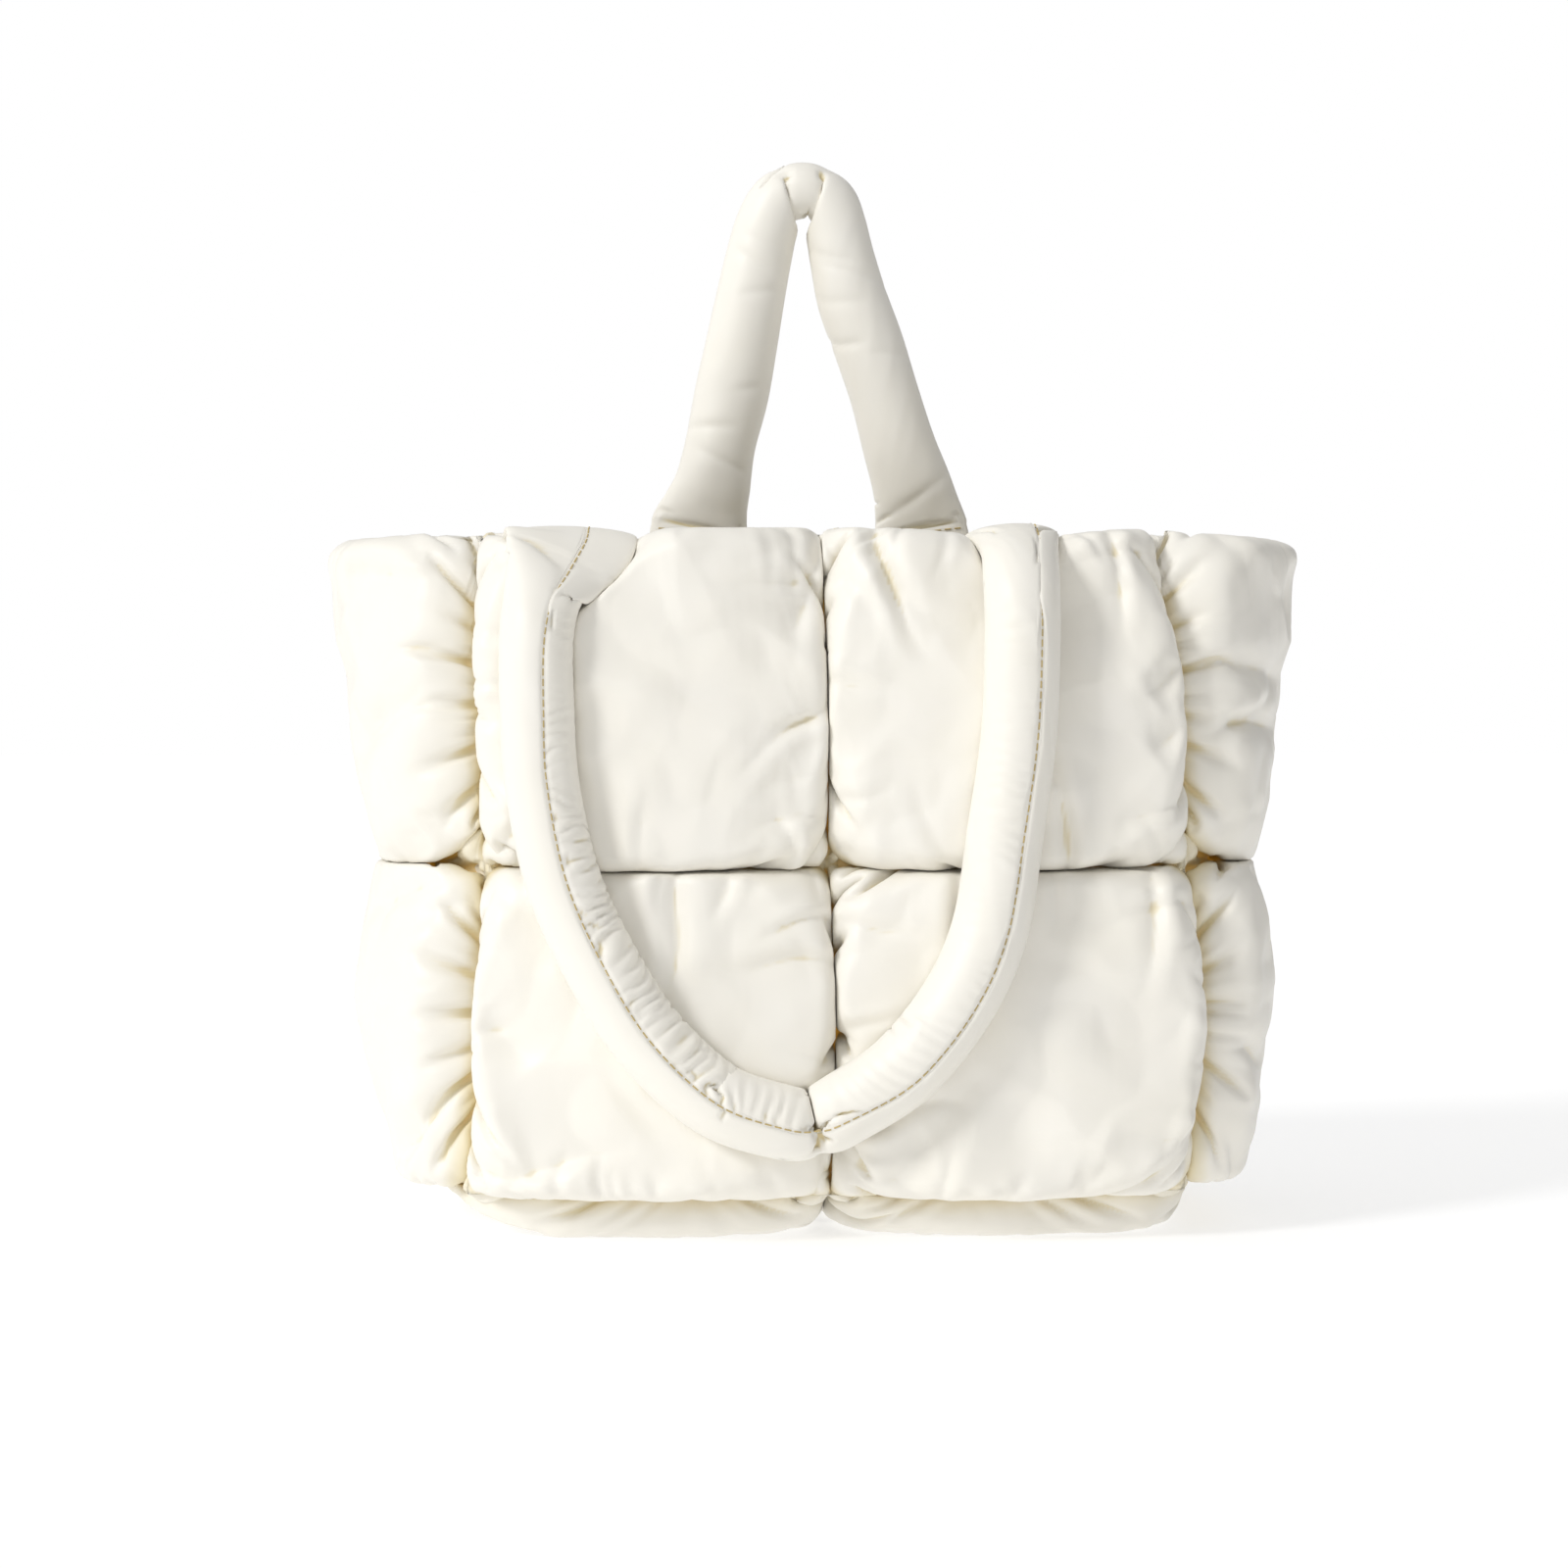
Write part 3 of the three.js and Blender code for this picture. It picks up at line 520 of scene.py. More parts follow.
def border(rows, cols):
    """The numbers of the points round a grid, anticlockwise from the first."""
    return np.concatenate([
        np.arange(cols - 1),
        np.arange(rows - 1) * cols + cols - 1,
        rows * cols - 1 - np.arange(cols - 1),
        (rows - 1 - np.arange(rows - 1)) * cols,
    ])


def cells(rows, cols, first=0):
    index = first + np.arange(rows * cols).reshape(rows, cols)
    return np.stack([index[:-1, :-1], index[:-1, 1:], index[1:, 1:], index[1:, :-1]], -1).reshape(-1, 4)


def make_piece(name, points, faces, flip, looks, cloth_place, crease):
    """A mesh from millimetres in the seam frame, with a UV map in metres of cloth."""
    points = (points + SEAM_ORIGIN) * MM
    faces = [face[:, ::-1] if flip else face for face in faces]
    counts = np.concatenate([np.full(len(face), face.shape[1]) for face in faces])
    corners = np.concatenate([face.reshape(-1) for face in faces])
    mesh = bpy.data.meshes.new(name)
    mesh.vertices.add(len(points))
    mesh.vertices.foreach_set("co", points.ravel())
    mesh.loops.add(len(corners))
    mesh.loops.foreach_set("vertex_index", corners)
    mesh.polygons.add(len(counts))
    mesh.polygons.foreach_set("loop_start", np.concatenate([[0], np.cumsum(counts)[:-1]]))
    mesh.polygons.foreach_set("use_smooth", np.ones(len(counts), bool))
    uv = mesh.uv_layers.new(name="cloth")
    uv.data.foreach_set("uv", (cloth_place[corners] * MM).ravel())
    # The crease attribute says how much painted shade and painted ochre bounce glow the nylon gets at each
    # point.
    mesh.attributes.new("crease", "FLOAT", "POINT").data.foreach_set("value", np.clip(crease, 0, 1))
    mesh.update(calc_edges=True)
    mesh.validate()
    mesh.materials.append(looks)
    piece = bpy.data.objects.new(name, mesh)
    bpy.context.collection.objects.link(piece)
    return piece


def crease_of(grid, reach, closed=False):
    """How deep each point lies in a crease: its height under the cloth around it, in millimetres."""
    def blurred(points, axis, wrap):
        pads = [(0, 0)] * 3
        pads[axis] = (reach, reach)
        how = {"mode": "wrap"} if wrap else {"mode": "reflect", "reflect_type": "odd"}
        padded = np.pad(points, pads, **how)
        total = np.cumsum(np.insert(padded, 0, 0, axis=axis), axis=axis)
        span = 2 * reach + 1
        count = points.shape[axis]
        first = np.arange(count)
        return (np.take(total, first + span, axis) - np.take(total, first, axis)) / span

    around = np.roll(grid, -1, 1) - np.roll(grid, 1, 1) if closed else np.gradient(grid, axis=1)
    out = unit(np.cross(around, np.gradient(grid, axis=0)))
    level = blurred(blurred(grid, 0, False), 1, closed)
    return np.einsum("...k,...k->...", level - grid, out)


def padded_shell(name, shell, lining, painted_groove_shade, way, looks):
    """Closes the outer sheet with its lining: the lining has half as many cells."""
    rows, cols = shell.shape[:2]
    few_rows, few_cols = lining.shape[:2]
    below = rows * cols
    outer, inner = border(rows, cols), below + border(few_rows, few_cols)
    inner_next, outer_next = np.roll(inner, -1), np.roll(outer, -2)[::2]
    edge = np.stack([inner_next, outer_next, np.roll(outer, -1)[::2], outer[::2], inner], -1)
    faces = [cells(rows, cols), cells(few_rows, few_cols, below)[:, ::-1], edge]
    flat = []
    for grid in (shell, lining):
        across = np.pad(np.cumsum(np.linalg.norm(np.diff(grid, axis=1), axis=-1), 1), ((0, 0), (1, 0)))
        up = np.pad(np.cumsum(np.linalg.norm(np.diff(grid, axis=0), axis=-1), 0), ((1, 0), (0, 0)))
        flat.append(np.stack([across, up], -1).reshape(-1, 2))
    points = np.concatenate([shell.reshape(-1, 3), lining.reshape(-1, 3)])
    # Painted shade and bounce light: more the deeper the cloth lies in its own creases, plus the painted
    # groove shade; the lining gets a small even amount.
    painted_crease_shade = np.clip((way * crease_of(shell, 3) - 0.7) / 4.2, 0, 0.24) + painted_groove_shade
    crease = np.concatenate([painted_crease_shade.ravel(), np.full(few_rows * few_cols, 0.1)])
    return make_piece(name, points, faces, way < 0, looks, np.concatenate(flat), crease)


# Down-proof nylon taffeta, calendered on the outside: ivory, with a broad satin gloss and no visible weave.
# The deep grooves between the pads and the creases in the cloth get painted shade and painted bounce light:
# the crease attribute turns their colour ochre and makes them glow faintly ochre. Crumples of 24 down to 3 mm
# and slack threads of 0.5 mm, coarser than real ones so that they show, break the gloss up, and cloudy
# patches of 45 mm make it uneven.
nylon, tree = material_tree("calendered_nylon_taffeta")
cloth_place = add_node(tree, "ShaderNodeUVMap", {"uv_map": "cloth"})
crease = add_node(tree, "ShaderNodeAttribute", {"attribute_name": "crease"})
cloudy = add_node(tree, "ShaderNodeTexNoise", Vector=cloth_place.outputs[0], Scale=22.0, Detail=3.0)
painted_shade_and_cloud = add_node(
    tree, "ShaderNodeMath", {"operation": "MULTIPLY_ADD", "use_clamp": True},
    s0=cloudy.outputs["Fac"], s1=0.16, s2=crease.outputs["Fac"],
)
# Ivory that darkens to ochre with the crease attribute, as painted shade and painted bounce light in creases
# and grooves; the cloudy patches add a little random tone.
ivory_with_painted_shade = add_node(tree, "ShaderNodeValToRGB", Fac=painted_shade_and_cloud.outputs[0])
ivory_with_painted_shade.color_ramp.elements[0].color = linear("#f4f1ea")
ivory_with_painted_shade.color_ramp.elements[1].color = linear("#c2a35c")
ivory_with_painted_shade.color_ramp.elements.new(0.14).color = linear("#f3efe4")
ivory_with_painted_shade.color_ramp.elements.new(0.4).color = linear("#e3d6b0")
crumple = add_node(
    tree, "ShaderNodeTexNoise", {"noise_type": "RIDGED_MULTIFRACTAL"},
    Vector=cloth_place.outputs[0], Scale=42.0, Detail=3.0, Roughness=0.5,
)
crumpled = add_node(tree, "ShaderNodeBump", Strength=0.5, Distance=0.0019, Height=crumple.outputs["Fac"])
threads = add_node(tree, "ShaderNodeTexNoise", Vector=cloth_place.outputs[0], Scale=2000.0, Detail=1.0)
threaded = add_node(
    tree, "ShaderNodeBump",
    Strength=0.06, Distance=0.0004, Height=threads.outputs["Fac"], Normal=crumpled.outputs[0],
)
polish = add_node(tree, "ShaderNodeMapRange", Value=cloudy.outputs["Fac"], To_Min=0.4, To_Max=0.54)
# An ochre glow where the crease attribute is high: painted bounce light in the deep grooves, though the cloth
# is no lamp.
painted_bounce_glow = add_node(
    tree, "ShaderNodeMath", {"operation": "MULTIPLY_ADD", "use_clamp": True},
    s0=crease.outputs["Fac"], s1=0.8, s2=-0.3,
)
shader = add_node(
    tree, "ShaderNodeBsdfPrincipled", Base_Color=ivory_with_painted_shade.outputs[0], Roughness=polish.outputs[0],
    Normal=threaded.outputs[0], Specular_IOR_Level=0.45,
    Emission_Color=linear("#b98a30"), Emission_Strength=painted_bounce_glow.outputs[0],
    Sheen_Weight=0.15, Sheen_Roughness=0.4,
)
add_node(tree, "ShaderNodeOutputMaterial", Surface=shader.outputs[0])


def wall_sheet(side, folds):
    """What blow_pads needs to know of the front (side -1) or back (side 1) wall."""
    def edges(a, b, middle, out, way):
        seams = (mitre(end, b, side)[:3] for end in (-1, 1))
        return sewn_edges(a, b, middle, out, way, seams, (0.0, side, -1.0))

    def planes(a, b):
        found = []
        for end in (-1, 1):
            corner, outwards, along, _ = mitre(end, b, side)
            found.append((a * end > 0.4, corner, mitre_plane(outwards, along, b)))
        centre = np.stack([seam_x(0 * b, b), 0 * b, 0 * b], -1)
        found.append((a > 0, centre, np.array([1.0, 0, 0])))
        found.append((a < 0, centre, np.array([-1.0, 0, 0])))
        return found + level_planes(point, a, b, unit(np.array([0, 0.1 * side, 1.0])))

    def point(a, b):
        return wall_point(a, b, side)

    def pads(a, b):
        pad_a, pad_b = 2 * np.abs(a) - 1, pad_up(b)
        return pad_a, pad_b, crown(pad_a) * crown(pad_b, b > 0.5)

    def held(a, b):
        return (np.abs(a) == 1) | (np.abs(a) < 1e-6) | (b == 0) | (b == 1) | (np.abs(b - 0.5) < 1e-6)

    def spare(a, b):
        pa, pb = 2 * np.abs(a) - 1, pad_up(b)
        corner = 0.9 * np.abs(pa * pb) ** 4
        return 0.22 + 0.05 * (1 - pb ** 4) + corner, 0.22 + 0.05 * (1 - pa ** 4) + corner

    return {
        "width": PANEL_WIDTH, "height": WALL_HEIGHT, "span": (0, 1), "faces": -side,
        "point": point, "held": held, "edges": edges, "planes": planes, "spare": spare, "creases": folds,
        "round": lambda a, b: 1 + 0 * a,
        "pads": pads,
        "folds": lambda a, b: fold_depth(folds, a, b, PANEL_WIDTH) + slack_lumps(a.shape, (9, 9), 11),
        "seams": ((-PANEL_WIDTH / 2, 0, PANEL_WIDTH / 2), (0, WALL_HEIGHT / 2, WALL_HEIGHT)),
        "spacing": 18, "strength": 2.0, "facets": 3.4, "seed": 31 + side, "fold": 6.5, "shade": 0.6,
    }


# The hanging handle's middle line, which presses on the front wall: x, y, z, width and depth.
HANGING = np.array((
    (-113.7, -56.5, 284.0, 46.0, 8.0),
    (-113.7, -58.5, 310.6, 50.0, 8.0),
    (-117.5, -67.8, 326.0, 60.0, 9.0),
    (-119.5, -87.0, 322.5, 61.0, 10.5),
    (-125.5, -99.5, 310.5, 47.5, 15.0),
    (-131.2, -106.0, 296.5, 36.0, 25.0),
    (-133.9, -109.4, 278.0, 33.5, 32.3),
    (-133.6, -111.1, 248.5, 33.5, 33.0),
    (-131.3, -113.7, 212.6, 33.5, 33.0),
    (-121.5, -119.3, 168.4, 34.0, 33.0),
    (-102.7, -124.7, 128.2, 34.5, 33.0),
    (-81.6, -126.9, 96.5, 34.5, 32.3),
    (-52.6, -127.5, 70.3, 34.5, 32.3),
    (-24.4, -125.8, 59.8, 33.8, 30.6),
    (-8.1, -123.1, 58.2, 33.0, 28.5),
    (6.5, -124.7, 65.4, 33.5, 30.6),
    (34.1, -126.7, 84.4, 34.5, 32.3),
    (58.2, -127.5, 114.8, 34.5, 33.0),
    (72.5, -126.3, 147.5, 34.5, 33.0),
    (79.6, -124.0, 190.3, 34.5, 33.0),
    (85.8, -122.9, 235.4, 34.0, 33.0),
    (87.6, -121.2, 277.9, 34.0, 32.3),
    (87.6, -116.0, 304.1, 34.5, 27.2),
    (88.5, -95.0, 320.0, 36.0, 20.0),
    (87.4, -68.5, 326.5, 44.0, 10.0),
    (86.1, -58.2, 310.6, 46.0, 8.0),
    (86.1, -56.2, 284.0, 46.0, 8.0),
))
AROUND = 64
TUBE_CELL = 1.6
TUBE_ROUND = 111.0  # the cloth round a tube


def tube_frames(stations, facing, step):
    """Evenly spaced places along a tube: middle, the ways ahead, sideways and out, half width and depth."""
    fine = np.linspace(0, len(stations) - 1, 2000)
    path = np.stack([smooth(stations[:, k], fine) for k in range(3)], -1)
    run = np.pad(np.cumsum(np.linalg.norm(np.diff(path, axis=0), axis=-1)), (1, 0))
    count = int(round(run[-1] / step))
    place = np.interp(np.linspace(0, run[-1], count + 1), run, fine)
    line = np.stack([smooth(stations[:, k], place) for k in range(5)], -1)
    middle = line[:, :3]
    ahead = unit(np.gradient(middle, axis=0))
    sideways = unit(np.cross(ahead, facing(middle)))
    return {
        "middle": middle, "ahead": ahead, "sideways": sideways, "out": np.cross(sideways, ahead),
        "wide": line[:, 3] / 2, "deep": line[:, 4] / 2, "place": place,
        "run": np.linspace(0, run[-1], count + 1),
    }


def away_from_rim(middle):
    """The way from the front rim to the hanging handle."""
    rim = wall_point(middle[:, 0] / (PANEL_WIDTH / 2), 1 + 0 * middle[:, 0], -1)
    away = [0 * middle[:, 0], middle[:, 1] - rim[:, 1], np.maximum(middle[:, 2] - rim[:, 2] + 12, 0)]
    return unit(np.stack(away, -1))


hanging_line = tube_frames(HANGING, away_from_rim, TUBE_CELL)


def press_under(line, gap=0.3):
    """Keeps a wall's cloth under a tube that lies on it."""
    state = {"count": 0}

    def press(cloth, free):
        if state["count"] % 100 == 0 or state["shape"] != cloth.shape:
            low, high = line["middle"].min(0) - 30, line["middle"].max(0) + 30
            close = np.all((cloth > low) & (cloth < high), -1) & (free > 0)
            rows, cols = np.nonzero(close)
            nearest = np.empty(len(rows), int)
            for first in range(0, len(rows), 4000):
                points = cloth[rows[first:first + 4000], cols[first:first + 4000]]
                apart = ((points[:, None] - line["middle"][None]) ** 2).sum(-1)
                nearest[first:first + 4000] = apart.argmin(1)
            state.update(rows=rows, cols=cols, nearest=nearest, shape=cloth.shape)
        state["count"] += 1
        rows, cols, k = state["rows"], state["cols"], state["nearest"]
        arm = cloth[rows, cols] - line["middle"][k]
        wide = np.einsum("nk,nk->n", arm, line["sideways"][k]) / (line["wide"][k] + gap)
        ahead = np.abs(np.einsum("nk,nk->n", arm, line["ahead"][k]))
        under = -(line["deep"][k] + gap) * np.sqrt(np.maximum(1 - wide ** 2, 0))
        deep = np.einsum("nk,nk->n", arm, line["out"][k])
        sunk = np.where((np.abs(wide) < 1) & (ahead < 8), np.maximum(deep - under, 0), 0)
        cloth[rows, cols] -= sunk[:, None] * line["out"][k]
    return press


# Creases: from across, up, to across, up, depth as a share of the pad, width as a share of the wall height.
FRONT_FOLDS = (
    (-0.02, 0.94, -0.19, 0.81, 0.3, 0.035),
    (-0.01, 0.51, -0.12, 0.57, 0.28, 0.03),
    (-0.15, 0.73, -0.13, 0.6, 0.14, 0.045),
    (-0.69, 0.79, -0.41, 0.75, -0.07, 0.03),
    (0.03, 1.0, 0.21, 0.9, 0.18, 0.028),
    (0.02, 0.75, 0.16, 0.67, 0.16, 0.03),
    (0.98, 0.88, 0.76, 0.76, -0.14, 0.03),
    (0.97, 0.81, 0.81, 0.75, 0.26, 0.028),
    (0.91, 0.72, 0.81, 0.68, 0.16, 0.028),
    (-0.87, 0.27, -0.75, 0.21, 0.12, 0.03),
    (-0.03, 0.49, -0.09, 0.44, 0.26, 0.03),
    (-0.02, 0.42, -0.14, 0.33, 0.14, 0.035),
    (-0.5, 0.0, -0.5, 0.06, 0.4, 0.03),
    (0.03, 0.0, 0.17, 0.05, 0.3, 0.03),
    (0.18, 0.05, 0.42, 0.21, 0.14, 0.03),
    (0.57, 0.02, 0.7, 0.11, 0.16, 0.028),
    (0.99, 0.51, 0.9, 0.46, 0.3, 0.03),
)
BACK_FOLDS = (
    (-0.98, 0.62, -0.8, 0.7, 0.26, 0.03),
    (0.02, 0.9, 0.2, 0.8, 0.24, 0.035),
    (0.03, 0.53, 0.14, 0.6, 0.24, 0.03),
    (-0.1, 0.98, -0.24, 0.84, 0.18, 0.03),
    (0.98, 0.4, 0.8, 0.3, 0.24, 0.03),
    (-0.04, 0.4, -0.2, 0.28, 0.18, 0.035),
    (-0.7, 0.02, -0.55, 0.12, 0.2, 0.03),
    (0.4, 0.02, 0.5, 0.1, 0.22, 0.03),
)

for name, side, folds in (("front_panel", -1, FRONT_FOLDS), ("back_panel", 1, BACK_FOLDS)):
    sheet = wall_sheet(side, folds)
    if side < 0:
        sheet["press"] = press_under(hanging_line)
    shell, lining, painted_groove_shade = blow_pads(sheet)
    wall = padded_shell(name + "_cloth", shell, lining, painted_groove_shade, -side, nylon)
    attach(wall, "root")
    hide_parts(name)

# Gussets: the two side walls, each a short stack of two pads between the front and back walls. Their cloth
# is gathered into the side seams, and they bow out because the bag stands open.


def gusset_sheet(side, folds):
    """What blow_pads needs to know of the left (side -1) or right (side 1) gusset."""
    def edges(a, b, middle, out, way):
        seams = (mitre(side, b, end) for end in (-1, 1))
        seams = ((corner, outwards, along) for corner, outwards, _, along in seams)
        return sewn_edges(a, b, middle, out, way, seams, (side, 0.0, -1.0))

    def planes(a, b):
        found = []
        for end in (-1, 1):
            corner, outwards, along_wall, _ = mitre(side, b, end)
            found.append((a * end > 0.2, corner, -mitre_plane(outwards, along_wall, b)))
        return found + level_planes(point, a, b, unit(np.array([0.1 * side, 0, 1.0])))

    def point(a, b):
        return gusset_point(a, b, side)

    def held(a, b):
        return (np.abs(a) == 1) | (b == 0) | (b == 1) | (np.abs(b - 0.5) < 1e-6)

    def thinner_at_waist(a, b):
        towards_waist = pad_up(b) * np.where(b > 0.5, -1, 1) > 0
        return np.where(towards_waist, np.sqrt(1 - 0.98 * np.abs(pad_up(b)) ** 2.6), 1.0)

    def spare(a, b):
        pb = pad_up(b)
        return 0.18 + 0.06 * (1 - pb ** 4), 0.28 + 0.02 * (1 - a ** 4)

    return {
        "width": GUSSET_WIDTH, "height": WALL_HEIGHT, "span": (0, 1), "faces": side,
        "point": point, "held": held, "edges": edges, "planes": planes, "spare": spare, "creases": folds,
        "round": thinner_at_waist,
        "pads": lambda a, b: (a, pad_up(b), crown(a) * crown(pad_up(b), b > 0.5)),
        "folds": lambda a, b: fold_depth(folds, a, b, GUSSET_WIDTH) + slack_lumps(a.shape, (9, 5), 12),
        "seams": ((-GUSSET_WIDTH / 2, GUSSET_WIDTH / 2), (0, WALL_HEIGHT / 2, WALL_HEIGHT)),
        "spacing": 24, "strength": 1.3, "facets": 3.2, "seed": 41 + side, "fold": 7.0, "shade": 0.5,
    }


LEFT_FOLDS = (
    (-0.98, 0.78, -0.2, 0.69, 0.2, 0.028),
    (-0.9, 0.91, -0.3, 0.9, 0.16, 0.028),
    (-0.9, 0.58, -0.1, 0.53, 0.28, 0.028),
    (-0.9, 0.45, -0.2, 0.38, 0.28, 0.03),
    (-0.95, 0.14, -0.35, 0.1, 0.3, 0.03),
    (0.95, 0.85, 0.3, 0.75, 0.2, 0.028),
    (0.9, 0.3, 0.3, 0.2, 0.22, 0.03),
)
RIGHT_FOLDS = (
    (-0.98, 0.8, -0.1, 0.77, 0.2, 0.024),
    (-0.98, 0.72, 0.0, 0.71, 0.24, 0.024),
    (-0.9, 0.55, -0.2, 0.53, 0.24, 0.028),
    (-0.95, 0.24, -0.3, 0.2, 0.2, 0.028),
    (-0.95, 0.12, -0.4, 0.06, 0.28, 0.03),
    (0.95, 0.62, 0.2, 0.7, 0.22, 0.028),
    (0.9, 0.4, 0.3, 0.32, 0.22, 0.03),
)

for name, side, folds in (("left_gusset", -1, LEFT_FOLDS), ("right_gusset", 1, RIGHT_FOLDS)):
    shell, lining, painted_groove_shade = blow_pads(gusset_sheet(side, folds))
    gusset = padded_shell(name + "_cloth", shell, lining, painted_groove_shade, side, nylon)
    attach(gusset, "root")
    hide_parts(name)

# Bottom: two pads that the bag stands on, pressed flat by the floor.


def bottom_point(a, b):
    edge = np.where(a < 0, -1.0, 1.0)
    bow = GUSSET_WIDTH * np.where(a < 0, seam_at("left_bow", 0.0), seam_at("right_bow", 0.0))
    x = seam_x(a, 0 * a) + edge * np.abs(a) * bow * (1 - b ** 2)
    return np.stack([x, b * wall_depth(a, 0 * a), BASE_HEIGHT + 0 * a], -1)


def bottom_edges(a, b, middle, out, way):
    held = middle + out * way * SEAM / 2
    for place, across in ((a, np.array([1.0, 0, 0])), (b, np.array([0, 1.0, 0]))):
        for end in (-1, 1):
            under = unit(end * across - np.array([0, 0, 1.0]))
            edge = middle + way * under * SEAM / 2 - SEAM_GAP * end * across
            held = np.where((place == end)[..., None], edge, held)
    return held


def bottom_planes(a, b):
    found = [(a == a, np.zeros(3), np.array([0, 0, 1.0]))]
    centre = np.stack([seam_x(0 * a, 0 * a), 0 * b, 0 * b], -1)
    found.append((a > 0, centre, np.array([1.0, 0, 0])))
    found.append((a < 0, centre, np.array([-1.0, 0, 0])))
    for end in (-1, 1):
        found.append((b * end > 0.4, bottom_point(a, end + 0 * b), -unit(np.array([0, 0.1 * end, 1.0]))))
        found.append((a * end > 0.6, bottom_point(end + 0 * a, b), -unit(np.array([0.1 * end, 0, 1.0]))))
    return found


def bottom_round(a, b):
    ends = (1 - 0.98 * np.abs(2 * np.abs(a) - 1) ** 2.6) * (1 - 0.98 * np.abs(b) ** 2.6)
    left_end = np.clip(0.06 + 0.45 * (1 + a) * PANEL_WIDTH / 2 / PAD_DEPTH, 0, 1)
    return np.minimum(0.95 * np.sqrt(ends), left_end)


bottom_sheet = {
    "width": PANEL_WIDTH, "height": GUSSET_WIDTH, "span": (-1, 1), "faces": -1, "round": bottom_round,
    "point": bottom_point,
    "pads": lambda a, b: (2 * np.abs(a) - 1, b, 0.6 * crown(2 * np.abs(a) - 1) * crown(b)),
    "folds": lambda a, b: 0 * a,
    "held": lambda a, b: (np.abs(a) == 1) | (np.abs(a) < 1e-6) | (np.abs(b) == 1),
    "edges": bottom_edges, "planes": bottom_planes,
    "spare": lambda a, b: (0.19 + 0 * a, 0.19 + 0 * a), "creases": (),
    "seams": ((-PANEL_WIDTH / 2, 0, PANEL_WIDTH / 2), (0, GUSSET_WIDTH)),
    "spacing": 16, "strength": 0.9, "facets": 1.4, "seed": 51, "fold": 0.0, "shade": 0.2,
}
shell, lining, painted_groove_shade = blow_pads(bottom_sheet)
bottom = padded_shell("bottom_panel_cloth", shell, lining, painted_groove_shade, -1, nylon)
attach(bottom, "root")
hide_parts("bottom_panel")

# Handles: nylon tubes stuffed with the same down. The ends are pressed flat and sewn inside the rims.
# Middle lines: x, y, z, width and depth of the tube.
STANDING = np.array((
    (-58.8, 58.6, 282.1, 46.0, 8.0),
    (-57.2, 60.6, 305.0, 48.0, 8.0),
    (-56.0, 62.0, 320.0, 49.5, 9.0),
    (-55.0, 63.5, 332.0, 48.0, 13.0),
    (-52.0, 63.9, 343.0, 41.5, 20.0),
    (-48.4, 63.9, 355.0, 37.0, 27.5),
    (-44.7, 63.9, 374.0, 34.2, 32.0),
    (-39.2, 63.9, 398.5, 36.0, 33.0),
    (-34.3, 63.9, 423.0, 34.8, 33.5),
    (-29.7, 63.9, 447.0, 33.2, 33.0),
    (-25.3, 63.9, 468.0, 31.8, 32.6),
    (-21.8, 63.9, 481.5, 30.6, 32.0),
    (-17.3, 63.9, 491.5, 29.5, 31.3),
    (-11.5, 63.9, 497.3, 29.0, 31.0),
    (-3.7, 63.9, 499.3, 27.5, 31.0),
    (4.0, 63.9, 497.6, 28.0, 31.0),
    (9.0, 63.9, 491.5, 29.5, 31.3),
    (12.3, 63.9, 481.5, 30.0, 32.0),
    (15.8, 63.9, 465.0, 31.5, 32.6),
    (20.8, 63.9, 445.0, 34.0, 33.0),
    (28.8, 63.9, 423.0, 34.3, 33.0),
    (36.7, 63.9, 398.5, 33.6, 32.5),
    (43.8, 63.9, 374.0, 35.5, 32.0),
    (50.0, 63.9, 355.0, 38.5, 27.5),
    (52.9, 63.9, 343.0, 41.5, 20.0),
    (55.0, 63.5, 332.0, 45.5, 13.0),
    (56.3, 62.0, 320.0, 47.5, 9.0),
    (57.2, 60.6, 305.0, 47.0, 8.0),
    (58.8, 58.6, 282.1, 46.0, 8.0),
))
TUBE_RADIUS = 17.0
SEWN_FLAT, LOOSE, STUFFED = 9.0, 13.0, 27.0  # a tube's depth at its sewn ends, where it can move, where full
RIB_SPACING, RIB_DEPTH = 6.2, 2.0
TUCK_REACH = 16.0
TUBE_STEPS, TUBE_PRESSURE = 45, -0.15  # less than 0, because a ring's points run the other way round


